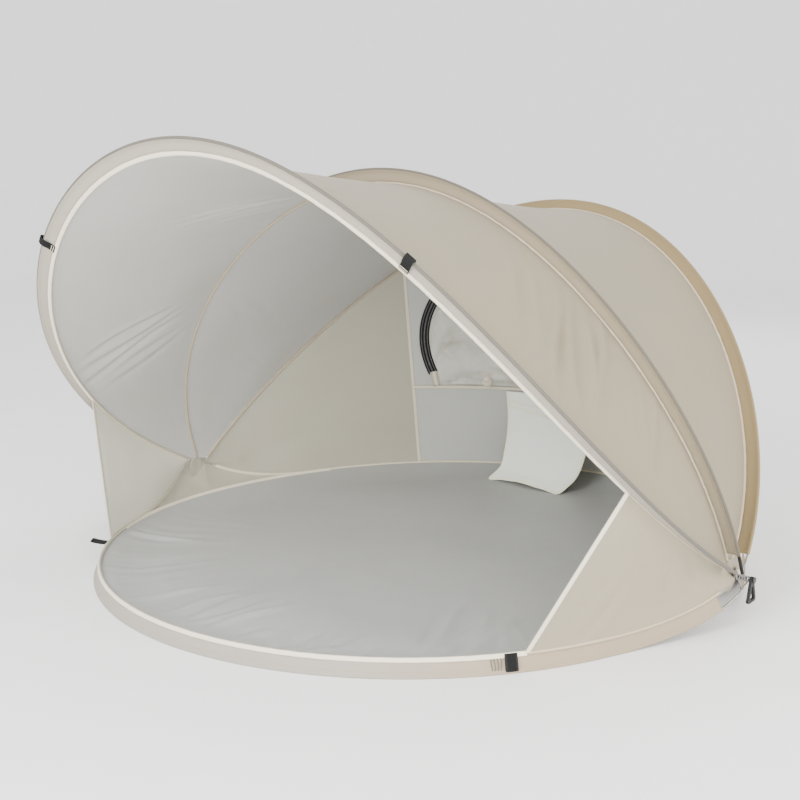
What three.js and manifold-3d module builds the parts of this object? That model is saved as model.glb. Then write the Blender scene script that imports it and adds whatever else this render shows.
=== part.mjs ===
// A pop-up shell tent: two floor arches and three canopy hoops of spring wire meet on a pin at each side,
// and fabric is stretched between them.
// Millimetres, +Z up. The front opens towards -Y, the hub axis runs along X, and the origin is the middle of
// the footprint on the ground.

import * as THREE from 'three';
import { mergeVertices } from 'three/addons/utils/BufferGeometryUtils.js';
import Module from 'manifold-3d';

const wasm = await Module();
wasm.setup();

// ---------------------------------------------------------------- driving dimensions

const HUB_X = 1000;
const HUB_Y = -42;
const HUB_Z = 120;
const KNUCKLE_PITCH = 7;

const FLOOR_HALF_WIDTH = 915;
const FLOOR_WIDEST_Y = -60;
const FLOOR_FRONT_Y = -1020;
const FLOOR_REAR_Y = 1020;

// Each hoop leaves the hubs at its root angle and rises to its crown angle, both measured up from the front
// horizontal. Reach is from the hub axis to the crown, a fullness under 1 makes square shoulders, and waist
// is the share by which the hoop narrows halfway up.
const FRONT_HOOP = { reach: 1430, crown: 48.7, root: 25, fullness: 0.79, waist: 0.04, knuckle: 1 };
const MID_HOOP = { reach: 1026, crown: 79, root: 66, fullness: 0.98, waist: 0.116, knuckle: 0 };
const REAR_HOOP = { reach: 1201, crown: 131, root: 137.5, fullness: 1.13, waist: 0.07, knuckle: -1 };

const WIRE_RADIUS = 2.5;
const WIRE_SIDES = 6;
const EYE_RADIUS = 6;
const PIN_RADIUS = 3;

const SLEEVE_WIDTH = 37.5;
const SLEEVE_THICKNESS = 4;
const HOOP_SLEEVE_END = 70;
const FLOOR_SLEEVE_END = 110;
const FABRIC_THICKNESS = 1.6;
const SEAM_OFFSET = 39;
const SEAM_SPLIT = 2.6;
const TAPE_THICKNESS = 1.2;

const WING_HUB_SHARE = 0.03;
const WING_HOOP_SHARE = 0.146;
const WING_FLOOR_X = 737;
const WING_CLOTH_END = 0.97;

const SILL_Z = 345;
const WINDOW_SPAN = 0.188;
const WINDOW_MIDDLE_Z = 472;
const WINDOW_HALF_HEIGHT = 407;
const ZIP_END_Z = 400;
const ZIP_WIDTH = 28;
const TRIM_LIFT = 5;
const SEAM_FOOT_SHARE = 0.232;
const SEAM_LEAN = 0.042;
const SEAM_HEIGHT = 784;
const SILL_HALF_SPAN = 0.205;

const LOOP_WIDTH = 25;
const GUY_LOOP_SHARE = 0.331;
const PEG_LOOP_LENGTH = 38;
const PEG_LOOP_OUTBOARD = 0.013;
const PEG_LOOP_LIFT = { right: 0, left: 75 };

// ---------------------------------------------------------------- materials

function finish(color, roughness, metalness = 0) {
  return new THREE.MeshStandardMaterial({ color, roughness, metalness, side: THREE.DoubleSide });
}

const steel = finish(0x8f8f8c, 0.35, 0.9);
const canopyCloth = finish(0xcfc4b2, 0.85);
const sleeveCloth = finish(0xd8cdb9, 0.85);
const floorCloth = finish(0xb2b2ae, 0.7);
const bindingTape = finish(0xece4d2, 0.8);
const flapCloth = finish(0xdce0da, 0.8);
const blackWebbing = finish(0x161616, 0.75);
const blackPlastic = finish(0x111111, 0.5);

// ---------------------------------------------------------------- curves of the wires

class HoopCurve extends THREE.Curve {
  constructor(hoop) {
    super();
    this.hoop = hoop;
    this.arcLengthDivisions = 800;
  }

  getPoint(t, target = new THREE.Vector3()) {
    const { reach, crown, root, fullness, waist, knuckle } = this.hoop;
    const turn = Math.PI * t;
    const rise = Math.sin(turn);
    const endX = HUB_X + knuckle * KNUCKLE_PITCH;
    const distance = reach * Math.pow(Math.max(rise, 0), fullness);
    const angle = THREE.MathUtils.degToRad(THREE.MathUtils.lerp(root, crown, rise));
    return target.set(
      endX * Math.cos(turn) * (1 - waist * rise * rise),
      HUB_Y - distance * Math.cos(angle),
      HUB_Z + distance * Math.sin(angle),
    );
  }
}

class GroundArc extends THREE.Curve {
  constructor(farY, start) {
    super();
    this.farY = farY;
    this.start = start;
  }

  getPoint(t, target = new THREE.Vector3()) {
    const turn = THREE.MathUtils.lerp(this.start, Math.PI - this.start, t);
    const depth = this.farY - FLOOR_WIDEST_Y;
    const wireZ = WIRE_RADIUS + 0.5;
    return target.set(FLOOR_HALF_WIDTH * Math.cos(turn), FLOOR_WIDEST_Y + depth * Math.sin(turn), wireZ);
  }
}

// A floor arch lies on the ground, and sweeps up to the hub at each end. Its side is -1 in front and 1 behind.
function floorCurve(farY, side) {
  const rampTurn = 0.42;
  const rampPull = 240;
  const hubPull = 60;
  const arc = new GroundArc(farY, rampTurn);
  const foot = arc.getPoint(0);
  const ahead = arc.getTangent(0).multiplyScalar(rampPull);
  const endX = HUB_X - side * 2 * KNUCKLE_PITCH;
  const lift = [
    new THREE.Vector3(endX, HUB_Y, HUB_Z),
    new THREE.Vector3(endX - 5, HUB_Y + side * hubPull, HUB_Z - hubPull),
    foot.clone().sub(ahead),
    foot,
  ];
  const mirrored = lift.map((point) => new THREE.Vector3(-point.x, point.y, point.z)).reverse();
  const path = new THREE.CurvePath();
  path.add(new THREE.CubicBezierCurve3(...lift));
  path.add(arc);
  path.add(new THREE.CubicBezierCurve3(...mirrored));
  path.arcLengthDivisions = 800;
  return path;
}

const up = new THREE.Vector3(0, 0, 1);

function towardsCentre(curve) {
  const centre = new THREE.Vector3();
  const samples = curve.getSpacedPoints(40);
  samples.forEach((point) => centre.addScaledVector(point, 1 / samples.length));
  return (point) => centre.clone().sub(point).normalize();
}

// The floor sleeve leans in by 12 for each 30 of its height.
function upAndIn(curve) {
  const inwards = towardsCentre(curve);
  return (point) => inwards(point).setZ(0).normalize().multiplyScalar(12).addScaledVector(up, 30).normalize();
}

function makeArch(curve, lean) {
  return { curve, lean: lean(curve), length: curve.getLength() };
}

const arches = {
  floor_front: makeArch(floorCurve(FLOOR_FRONT_Y, -1), upAndIn),
  floor_rear: makeArch(floorCurve(FLOOR_REAR_Y, 1), upAndIn),
  rear_hoop: makeArch(new HoopCurve(REAR_HOOP), towardsCentre),
  mid_hoop: makeArch(new HoopCurve(MID_HOOP), towardsCentre),
  front_hoop: makeArch(new HoopCurve(FRONT_HOOP), towardsCentre),
};

// The frame of an arch at a share of its length: along the wire, across the sleeve and out of its face.
function frameAt(arch, share) {
  const point = arch.curve.getPointAt(share);
  const along = arch.curve.getTangentAt(share);
  const across = arch.lean(point);
  across.addScaledVector(along, -across.dot(along)).normalize();
  const out = new THREE.Vector3().crossVectors(along, across);
  return { point, along, across, out };
}

function offsetPoint(frame, across, out) {
  return frame.point.clone().addScaledVector(frame.across, across).addScaledVector(frame.out, out);
}

function seamPoint(arch, share, side) {
  return offsetPoint(frameAt(arch, share), SEAM_OFFSET, side * SEAM_SPLIT);
}

// The share of a floor arch's length at which it has come in to a given x.
function floorShareAt(arch, x) {
  let low = 0.02;
  let high = 0.98;
  for (let i = 0; i < 24; i++) {
    const middle = (low + high) / 2;
    if (arch.curve.getPointAt(middle).x > x) low = middle;
    else high = middle;
  }
  return low;
}

function shares(count, from = 0, to = 1) {
  return Array.from({ length: count + 1 }, (_, i) => THREE.MathUtils.lerp(from, to, i / count));
}

// Distances along an arch at which its wire and its sleeve are both shaped, closer together near the hubs.
function stations(arch, end) {
  const bend = 200;
  const near = shares(9, EYE_RADIUS, bend);
  const middle = shares(34, bend, arch.length - bend).slice(1, -1);
  const far = near.map((distance) => arch.length - distance).reverse();
  const inside = (distance) => distance >= end && distance <= arch.length - end;
  return [...near, ...middle, ...far].filter(inside);
}

// ---------------------------------------------------------------- solids

function closedGeometry(points, triangles) {
  const positions = points.flatMap((point) => point.toArray());
  const volume = triangles.reduce((sum, [a, b, c]) => {
    const cross = new THREE.Vector3().crossVectors(points[b], points[c]);
    return sum + points[a].dot(cross) / 6;
  }, 0);
  const facing = volume < 0 ? triangles.map(([a, b, c]) => [a, c, b]) : triangles;
  const geometry = new THREE.BufferGeometry();
  geometry.setAttribute('position', new THREE.Float32BufferAttribute(positions, 3));
  geometry.setIndex(facing.flat());
  geometry.computeVertexNormals();
  return geometry;
}

// Joins outlines of equal length into one closed body with flat ends.
function loft(outlines) {
  const size = outlines[0].length;
  const points = outlines.flat();
  const triangles = [];
  for (let i = 0; i < outlines.length - 1; i++) {
    for (let k = 0; k < size; k++) {
      const a = i * size + k;
      const b = i * size + ((k + 1) % size);
      triangles.push([a, b, b + size], [a, b + size, a + size]);
    }
  }
  const last = points.length - size;
  for (let k = 1; k < size - 1; k++) {
    triangles.push([0, k + 1, k], [last, last + k, last + k + 1]);
  }
  return closedGeometry(points, triangles);
}

function gridNormal(grid, i, j) {
  const rows = grid.length - 1;
  const columns = grid[0].length - 1;
  const down = grid[Math.min(i + 1, rows)][j].clone().sub(grid[Math.max(i - 1, 0)][j]);
  const right = grid[i][Math.min(j + 1, columns)].clone().sub(grid[i][Math.max(j - 1, 0)]);
  return down.cross(right).normalize();
}

// A grid of points thickened to both sides.
function sheetSolid(grid, thickness = FABRIC_THICKNESS) {
  const rows = grid.length;
  const columns = grid[0].length;
  const normals = grid.map((row, i) => row.map((_, j) => gridNormal(grid, i, j)));
  const face = (side) => grid.flatMap((row, i) => row.map((point, j) => (
    point.clone().addScaledVector(normals[i][j], side * thickness / 2))));
  const points = [...face(1), ...face(-1)];
  const half = rows * columns;
  const triangles = [];
  for (let i = 0; i < rows - 1; i++) {
    for (let j = 0; j < columns - 1; j++) {
      const a = i * columns + j;
      const b = a + columns;
      triangles.push([a, b, b + 1], [a, b + 1, a + 1]);
      triangles.push([half + a, half + b + 1, half + b], [half + a, half + a + 1, half + b + 1]);
    }
  }
  const rim = [];
  for (let j = 0; j < columns - 1; j++) rim.push(j);
  for (let i = 0; i < rows - 1; i++) rim.push(i * columns + columns - 1);
  for (let j = columns - 1; j > 0; j--) rim.push((rows - 1) * columns + j);
  for (let i = rows - 1; i > 0; i--) rim.push(i * columns);
  rim.forEach((a, k) => {
    const b = rim[(k + 1) % rim.length];
    triangles.push([a, b, half + b], [a, half + b, half + a]);
  });
  return closedGeometry(points, triangles);
}

function toManifold(geometry) {
  const bare = geometry.clone();
  bare.deleteAttribute('normal');
  bare.deleteAttribute('uv');
  const merged = mergeVertices(bare, 1e-3);
  return new wasm.Manifold(new wasm.Mesh({
    numProp: 3,
    vertProperties: new Float32Array(merged.attributes.position.array),
    triVerts: new Uint32Array(merged.index.array),
  }));
}

function fromManifold(solid) {
  const mesh = solid.getMesh();
  const geometry = new THREE.BufferGeometry();
  geometry.setAttribute('position', new THREE.BufferAttribute(mesh.vertProperties, 3));
  geometry.setIndex(new THREE.BufferAttribute(mesh.triVerts, 1));
  geometry.computeVertexNormals();
  return geometry;
}

function union(...geometries) {
  return fromManifold(geometries.map(toManifold).reduce((a, b) => a.add(b)));
}

// A round section swept along part of an arch, from one distance along it to another.
function sweep(arch, shape, from, to, steps, curveSegments) {
  const points = shares(steps, from / arch.length, to / arch.length).map((s) => arch.curve.getPointAt(s));
  const extrudePath = new THREE.CatmullRomCurve3(points);
  return new THREE.ExtrudeGeometry(shape, { steps, extrudePath, curveSegments });
}

function disc(radius, holeRadius = 0) {
  const shape = new THREE.Shape().absarc(0, 0, radius, 0, Math.PI * 2);
  if (holeRadius > 0) shape.holes.push(new THREE.Path().absarc(0, 0, holeRadius, 0, Math.PI * 2, true));
  return shape;
}

// A wire with an eye at each end, which turns on a hub pin.
function wireWithEyes(arch) {
  const turns = shares(WIRE_SIDES, 0, 2 * Math.PI).slice(1);
  const wire = loft(stations(arch, EYE_RADIUS).map((distance) => {
    const frame = frameAt(arch, distance / arch.length);
    return turns.map((turn) => offsetPoint(frame, WIRE_RADIUS * Math.cos(turn), WIRE_RADIUS * Math.sin(turn)));
  }));
  const eyes = [0, 1].map((share) => {
    const eye = new THREE.TorusGeometry(EYE_RADIUS, WIRE_RADIUS - 0.2, 6, 14);
    eye.rotateY(Math.PI / 2);
    return eye.translate(...arch.curve.getPointAt(share).toArray());
  });
  return union(wire, ...eyes);
}

// The flat fabric sleeve that stands in from a wire.
function sleeve(arch, end) {
  const near = WIRE_RADIUS + 0.8;
  const half = SLEEVE_THICKNESS / 2;
  return loft(stations(arch, end).map((distance) => {
    const frame = frameAt(arch, distance / arch.length);
    const corners = [[near, -half], [SLEEVE_WIDTH, -half], [SLEEVE_WIDTH, half], [near, half]];
    return corners.map(([across, out]) => offsetPoint(frame, across, out));
  }));
}

// Fabric between the seams of two arches. The side is 1 below and in front of a hoop, and -1 above and behind.
function gore(lower, lowerSide, upper, upperSide, columns, rows, margin) {
  return sheetSolid(shares(rows).map((height) => shares(columns, margin, 1 - margin).map((share) => (
    seamPoint(lower, share, lowerSide).lerp(seamPoint(upper, share, upperSide), height)))));
}

// ---------------------------------------------------------------- floor

function floorPanel(farY) {
  const edge = 22;
  const foldGap = 0.5;
  const thickness = 2.5;
  const depth = farY - FLOOR_WIDEST_Y - Math.sign(farY) * edge;
  const halfWidth = FLOOR_HALF_WIDTH - edge;
  const foldY = HUB_Y + Math.sign(farY) * foldGap;
  const start = Math.asin((foldY - FLOOR_WIDEST_Y) / depth);
  const outline = shares(30, start, Math.PI - start).map((turn) => (
    new THREE.Vector2(halfWidth * Math.cos(turn), FLOOR_WIDEST_Y + depth * Math.sin(turn))));
  return new THREE.ExtrudeGeometry(new THREE.Shape(outline), { depth: thickness, bevelEnabled: false });
}

// The triangle of cloth below each hub, from the rim of the floor up to the sleeves of both floor arches.
function sideGusset(side) {
  const rampTurn = 0.38;
  const rampLength = 400;
  const hubGap = 100;
  const rimInset = 20;
  const rimZ = 7;
  const top = (reach) => {
    const arch = reach < 0 ? arches.floor_front : arches.floor_rear;
    const distance = THREE.MathUtils.lerp(hubGap, rampLength, Math.abs(reach));
    const frame = frameAt(arch, side > 0 ? distance / arch.length : 1 - distance / arch.length);
    return offsetPoint(frame, SEAM_OFFSET - 6, -Math.sign(reach) * (SLEEVE_THICKNESS / 2 + 2));
  };
  const rim = (reach) => {
    const turn = reach * rampTurn;
    const depth = (reach < 0 ? -FLOOR_FRONT_Y + FLOOR_WIDEST_Y : FLOOR_REAR_Y - FLOOR_WIDEST_Y) - rimInset;
    const halfWidth = FLOOR_HALF_WIDTH - rimInset;
    return new THREE.Vector3(side * halfWidth * Math.cos(turn), FLOOR_WIDEST_Y + depth * Math.sin(turn), rimZ);
  };
  const reaches = shares(11, -1, 1);
  return sheetSolid(shares(3).map((height) => reaches.map((reach) => rim(reach).lerp(top(reach), height))));
}

// ---------------------------------------------------------------- side wings

const WING_FLOOR_SHARE = floorShareAt(arches.floor_front, WING_FLOOR_X);

function wingPoint(side, along, height) {
  const at = (share) => (side > 0 ? share : 1 - share);
  const floorShare = THREE.MathUtils.lerp(WING_HUB_SHARE, WING_FLOOR_SHARE, along);
  const hoopShare = THREE.MathUtils.lerp(WING_HUB_SHARE, WING_HOOP_SHARE, along);
  const foot = seamPoint(arches.floor_front, at(floorShare), 0);
  return foot.lerp(seamPoint(arches.front_hoop, at(hoopShare), 1), height);
}

function wing(side) {
  return sheetSolid(shares(5).map((height) => shares(8, 0, WING_CLOTH_END).map((along) => (
    wingPoint(side, along, height)))));
}

function wingTape(side) {
  const gap = 0.005;
  const thickness = 2.4;
  const heights = shares(6, 0.01, 0.99);
  return sheetSolid(heights.map((height) => shares(1, WING_CLOTH_END + gap, 1).map((along) => (
    wingPoint(side, along, height)))), thickness);
}

// ---------------------------------------------------------------- rear wall and window

// The wall runs from equal turns round the floor to equal shares of the rear hoop's length.
function wallFoot(share) {
  const floorShare = floorShareAt(arches.floor_rear, FLOOR_HALF_WIDTH * Math.cos(Math.PI * share));
  return seamPoint(arches.floor_rear, floorShare, 0);
}

function wallHead(share) {
  return seamPoint(arches.rear_hoop, share, -1);
}

function wallPoint(share, z, lift = 0) {
  const foot = wallFoot(share);
  const head = wallHead(share);
  const height = (z - foot.z) / (head.z - foot.z);
  const point = foot.clone().lerp(head, height);
  const step = 0.01;
  const beside = wallFoot(share + step).lerp(wallHead(share + step), height);
  const normal = head.sub(foot).cross(beside.sub(point)).normalize();
  return point.addScaledVector(normal, lift);
}

function rearWall() {
  const margin = 0.045;
  return sheetSolid(shares(6).map((height) => shares(26, margin, 1 - margin).map((share) => (
    wallFoot(share).lerp(wallHead(share), height)))));
}

// A strip that follows the wall, lifted off its inner face. The path gives [share, z], and width is across it.
function wallStrip(path, width, thickness, lift) {
  const centres = path.map(([share, z]) => wallPoint(share, z, lift));
  const behind = path.map(([share, z]) => wallPoint(share, z, lift - 1));
  return loft(centres.map((centre, i) => {
    const next = centres[Math.min(i + 1, centres.length - 1)];
    const before = centres[Math.max(i - 1, 0)];
    const normal = centre.clone().sub(behind[i]).normalize();
    const across = next.clone().sub(before).cross(normal).normalize();
    const corners = [[-1, -1], [1, -1], [1, 1], [-1, 1]];
    return corners.map(([a, n]) => centre.clone()
      .addScaledVector(across, a * width / 2)
      .addScaledVector(normal, n * thickness / 2));
  }));
}

function zipPoint(turn) {
  return [0.5 - WINDOW_SPAN * Math.cos(turn), WINDOW_MIDDLE_Z + WINDOW_HALF_HEIGHT * Math.sin(turn)];
}

const ZIP_START = Math.asin((ZIP_END_Z - WINDOW_MIDDLE_Z) / WINDOW_HALF_HEIGHT);

function windowCover() {
  const inner = 0.9;
  const firstTurn = 0.12 * Math.PI;
  const columns = shares(16, firstTurn, Math.PI - firstTurn);
  const sill = SILL_Z + 14;
  const lift = TRIM_LIFT + 1;
  const thickness = 1.4;
  return sheetSolid(shares(6).map((height) => columns.map((turn) => {
    const share = 0.5 - inner * WINDOW_SPAN * Math.cos(turn);
    const top = WINDOW_MIDDLE_Z + inner * WINDOW_HALF_HEIGHT * Math.sin(turn);
    return wallPoint(share, THREE.MathUtils.lerp(sill, top, height), lift);
  })), thickness);
}

// A seam from the floor to the rear hoop, in one strip that steps over the sill tape.
function seamTape(side) {
  const [footZ, headZ] = [42, 770];
  const sillGap = 12;
  const width = 12;
  const shareAt = (z) => 0.5 + side * (SEAM_FOOT_SHARE - SEAM_LEAN * z / SEAM_HEIGHT);
  const heights = [...shares(3, footZ, SILL_Z - sillGap), ...shares(4, SILL_Z + sillGap, headZ)];
  return wallStrip(heights.map((z) => [shareAt(z), z]), width, TAPE_THICKNESS, TRIM_LIFT);
}

function sillTape() {
  const width = 14;
  const path = shares(20, 0.5 - SILL_HALF_SPAN, 0.5 + SILL_HALF_SPAN).map((share) => [share, SILL_Z]);
  return wallStrip(path, width, TAPE_THICKNESS, TRIM_LIFT);
}

function zipEndTab(side) {
  const share = 0.5 + side * WINDOW_SPAN * 0.975;
  const [width, thickness] = [26, 2];
  return wallStrip([[share, SILL_Z + 11], [share, ZIP_END_Z - 5]], width, thickness, TRIM_LIFT + 1);
}

// The slider rides on the right-hand end of the zip, with its pull hanging from it.
function zipSlider() {
  const justPastEnd = 0.03;
  const [share, z] = zipPoint(ZIP_START + justPastEnd);
  const at = wallPoint(share, z, TRIM_LIFT + 7);
  const normal = at.clone().sub(wallPoint(share, z, TRIM_LIFT + 6)).normalize();
  const body = new THREE.BoxGeometry(13, 7, 20);
  const pull = new THREE.BoxGeometry(8, 2, 34).translate(0, -1.5, -24);
  const turn = new THREE.Matrix4().makeBasis(
    new THREE.Vector3().crossVectors(normal.clone().negate(), up).normalize(),
    normal.clone().negate(),
    up.clone().addScaledVector(normal, -normal.z).normalize(),
  ).setPosition(at);
  return union(body, pull).applyMatrix4(turn);
}

// A waisted knob, flattened against the wall, that ties the rolled-up window cover.
function windowToggle() {
  const [share, aboveSill, lift] = [0.62, 24, 40];
  const flatness = 0.55;
  const outline = [[0, 0], [18, 0], [14, 20], [6, 27], [8, 33], [7, 39], [20, 43], [20, 46], [0, 46]];
  const geometry = new THREE.LatheGeometry(outline.map(([r, h]) => new THREE.Vector2(r, h)), 12);
  geometry.scale(1, 1, flatness).rotateX(Math.PI / 2);
  const base = wallPoint(share, SILL_Z + aboveSill, lift);
  return geometry.translate(base.x, base.y, base.z);
}

// A loose cloth flap sewn along the sill, which hangs to the floor and runs out over it.
function wallFlap() {
  const left = [[-264, 850, 219], [-276, 842, 100], [-290, 826, 42], [-313, 796, 6]];
  const right = [[47, 875, 200], [43, 835, 100], [25, 796, 42], [1, 752, 6]];
  const edge = (root, points) => new THREE.CatmullRomCurve3(
    [root, ...points.map(([x, y, z]) => new THREE.Vector3(x, y, z))]);
  const [leftShare, rightShare, belowSill, lift] = [0.597, 0.484, 13, 10];
  const leftEdge = edge(wallPoint(leftShare, SILL_Z - belowSill, lift), left);
  const rightEdge = edge(wallPoint(rightShare, SILL_Z - belowSill, lift), right);
  return sheetSolid(shares(14).map((drop) => {
    const from = leftEdge.getPoint(drop);
    const to = rightEdge.getPoint(drop);
    return shares(6).map((s) => from.clone().lerp(to, s));
  }));
}

// ---------------------------------------------------------------- hubs and loops

// A headed pin along X: the wires' eyes and the loop turn on it.
function hubPin(side) {
  const inner = -2 * KNUCKLE_PITCH - 5;
  const outer = 2 * KNUCKLE_PITCH + 15;
  const [headRadius, head] = [8, 3];
  const outline = [
    [0, inner - head], [headRadius, inner - head], [headRadius, inner], [PIN_RADIUS, inner],
    [PIN_RADIUS, outer], [headRadius, outer], [headRadius, outer + head], [0, outer + head],
  ];
  const geometry = new THREE.LatheGeometry(outline.map(([r, h]) => new THREE.Vector2(r, h)), 16);
  geometry.rotateZ(-side * Math.PI / 2);
  return geometry.translate(side * HUB_X, HUB_Y, HUB_Z);
}

// The outline round three circles, one above and two below.
function roundTriangle(path, topZ, topRadius, footY, footZ, footRadius) {
  const slope = Math.atan2(footY, topZ - footZ);
  path.absarc(0, topZ, topRadius, slope, Math.PI - slope);
  path.absarc(-footY, footZ, footRadius, Math.PI - slope, 1.5 * Math.PI);
  path.absarc(footY, footZ, footRadius, 1.5 * Math.PI, 2 * Math.PI + slope);
  return path.closePath();
}

const alongX = new THREE.Matrix4().makeBasis(new THREE.Vector3(0, 1, 0), up, new THREE.Vector3(1, 0, 0));

function hubLoop(side) {
  const thickness = 7;
  const shape = roundTriangle(new THREE.Shape(), 0, 8, 16, -52, 7);
  shape.holes.push(roundTriangle(new THREE.Path(), -20, 3, 9, -48, 4));
  shape.holes.push(new THREE.Path().absarc(0, 0, PIN_RADIUS + 0.7, 0, 2 * Math.PI));
  const geometry = new THREE.ExtrudeGeometry(shape, { depth: thickness, bevelEnabled: false, curveSegments: 6 });
  geometry.translate(0, 0, -thickness / 2).applyMatrix4(alongX);
  return geometry.translate(side * (HUB_X + 2 * KNUCKLE_PITCH + 9), HUB_Y, HUB_Z);
}

// The black end of the middle hoop, a tube shrunk over its last stretch before the hub.
function midEndTube(side) {
  const arch = arches.mid_hoop;
  const [start, end] = [14, 68];
  const from = side > 0 ? start : arch.length - end;
  const to = side > 0 ? end : arch.length - start;
  return sweep(arch, disc(WIRE_RADIUS + 1.9, WIRE_RADIUS + 0.4), from, to, 4, 5);
}

// Webbing folded over the outer edge of the front sleeve, with both ends at the seam.
function guyLoop(side) {
  const [outer, inner, end] = [4.6, 3.2, 36];
  const section = [
    [-6, -outer], [end, -outer], [end, -inner], [-4.4, -inner],
    [-4.4, inner], [end, inner], [end, outer], [-6, outer],
  ];
  const shape = new THREE.Shape(section.map(([across, out]) => new THREE.Vector2(across, out)));
  const geometry = new THREE.ExtrudeGeometry(shape, { depth: LOOP_WIDTH, bevelEnabled: false });
  geometry.translate(0, 0, -LOOP_WIDTH / 2);
  const frame = frameAt(arches.front_hoop, side > 0 ? GUY_LOOP_SHARE : 1 - GUY_LOOP_SHARE);
  const turn = new THREE.Matrix4().makeBasis(frame.across, frame.out, frame.along).setPosition(frame.point);
  return geometry.applyMatrix4(turn);
}

// A flat tab of doubled webbing on the outside of the floor sleeve, below the foot of the wing.
function pegLoop(side) {
  const fromHub = WING_FLOOR_SHARE + PEG_LOOP_OUTBOARD;
  const frame = frameAt(arches.floor_front, side > 0 ? fromHub : 1 - fromHub);
  const root = offsetPoint(frame, SLEEVE_WIDTH + 1, -SLEEVE_THICKNESS / 2 - 3);
  const lift = THREE.MathUtils.degToRad(side > 0 ? PEG_LOOP_LIFT.right : PEG_LOOP_LIFT.left);
  const down = frame.across.clone().negate().multiplyScalar(Math.cos(lift));
  down.addScaledVector(frame.out, -Math.sin(lift));
  const normal = new THREE.Vector3().crossVectors(frame.along, down);
  const half = [LOOP_WIDTH / 2 + 3, 1.7];
  const corners = [[-1, -1], [1, -1], [1, 1], [-1, 1]];
  return loft([0, PEG_LOOP_LENGTH].map((reach) => corners.map(([a, n]) => root.clone()
    .addScaledVector(down, reach)
    .addScaledVector(frame.along, a * half[0])
    .addScaledVector(normal, n * half[1]))));
}

// ---------------------------------------------------------------- assembly

const tent = new THREE.Group();

function add(name, geometry, material) {
  const mesh = new THREE.Mesh(geometry, material);
  mesh.name = name;
  tent.add(mesh);
}

for (const [name, arch] of Object.entries(arches)) {
  const onGround = name.startsWith('floor');
  add(`${name}_wire`, wireWithEyes(arch), steel);
  add(`${name}_sleeve`, sleeve(arch, onGround ? FLOOR_SLEEVE_END : HOOP_SLEEVE_END), sleeveCloth);
}

add('floor_front_panel', floorPanel(FLOOR_FRONT_Y), floorCloth);
add('floor_rear_panel', floorPanel(FLOOR_REAR_Y), floorCloth);
add('front_gore', gore(arches.mid_hoop, 1, arches.front_hoop, -1, 26, 5, 0.035), canopyCloth);
add('rear_gore', gore(arches.rear_hoop, 1, arches.mid_hoop, -1, 26, 5, 0.035), canopyCloth);
add('rear_wall', rearWall(), canopyCloth);

add('window_cover', windowCover(), canopyCloth);
add('window_zip', wallStrip(shares(30, ZIP_START, Math.PI - ZIP_START).map(zipPoint), ZIP_WIDTH, 2, TRIM_LIFT + 1),
  blackPlastic);
add('zip_slider', zipSlider(), steel);
add('window_sill_tape', sillTape(), bindingTape);
add('window_toggle', windowToggle(), bindingTape);
add('wall_flap', wallFlap(), flapCloth);

for (const [name, side] of [['right', 1], ['left', -1]]) {
  add(`side_gusset_${name}`, sideGusset(side), canopyCloth);
  add(`wing_${name}`, wing(side), canopyCloth);
  add(`wing_tape_${name}`, wingTape(side), bindingTape);
  add(`wall_seam_tape_${name}`, seamTape(-side), bindingTape);
  add(`zip_end_tab_${name}`, zipEndTab(-side), bindingTape);
  add(`hub_pin_${name}`, hubPin(side), steel);
  add(`hub_loop_${name}`, hubLoop(side), blackPlastic);
  add(`mid_hoop_end_tube_${name}`, midEndTube(side), blackPlastic);
  add(`guy_loop_${name}`, guyLoop(side), blackWebbing);
  add(`peg_loop_${name}`, pegLoop(side), blackWebbing);
}

export default tent;
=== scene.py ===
"""A pop-up shell tent: spring-wire hoops in sewn sleeves, a tensioned cloth canopy, a sewn-in floor and a
zipped rear window. Metres, +Z up, the open front faces -Y."""

import math

import bpy
import numpy as np
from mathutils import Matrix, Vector, noise


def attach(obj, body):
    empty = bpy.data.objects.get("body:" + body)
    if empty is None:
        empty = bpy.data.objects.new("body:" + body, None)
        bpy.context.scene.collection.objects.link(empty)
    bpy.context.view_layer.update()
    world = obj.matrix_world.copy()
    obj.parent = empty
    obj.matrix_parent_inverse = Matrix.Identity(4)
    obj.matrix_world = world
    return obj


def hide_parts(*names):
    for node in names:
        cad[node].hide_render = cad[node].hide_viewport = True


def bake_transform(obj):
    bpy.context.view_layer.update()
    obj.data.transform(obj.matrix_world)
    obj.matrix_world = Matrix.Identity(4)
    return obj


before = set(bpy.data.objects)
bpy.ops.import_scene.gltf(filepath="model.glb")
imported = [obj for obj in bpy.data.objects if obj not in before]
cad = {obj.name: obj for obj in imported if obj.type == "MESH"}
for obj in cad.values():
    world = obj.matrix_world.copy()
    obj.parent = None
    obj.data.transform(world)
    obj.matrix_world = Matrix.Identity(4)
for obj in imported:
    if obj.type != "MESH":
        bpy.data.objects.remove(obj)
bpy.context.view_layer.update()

# ---------------------------------------------------------------- driving dimensions

HUB = np.array([1.0, -0.042, 0.120])
KNUCKLE_PITCH = 0.007
FLOOR_HALF_WIDTH = 0.915
FLOOR_WIDEST_Y = -0.060
FLOOR_FRONT_Y = -1.020
FLOOR_REAR_Y = 1.020

FRONT_HOOP = dict(reach=1.430, crown=48.7, root=25, fullness=0.79, waist=0.04, knuckle=1)
MID_HOOP = dict(reach=1.026, crown=79, root=66, fullness=0.98, waist=0.116, knuckle=0)
REAR_HOOP = dict(reach=1.201, crown=131, root=137.5, fullness=1.13, waist=0.07, knuckle=-1)

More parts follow.
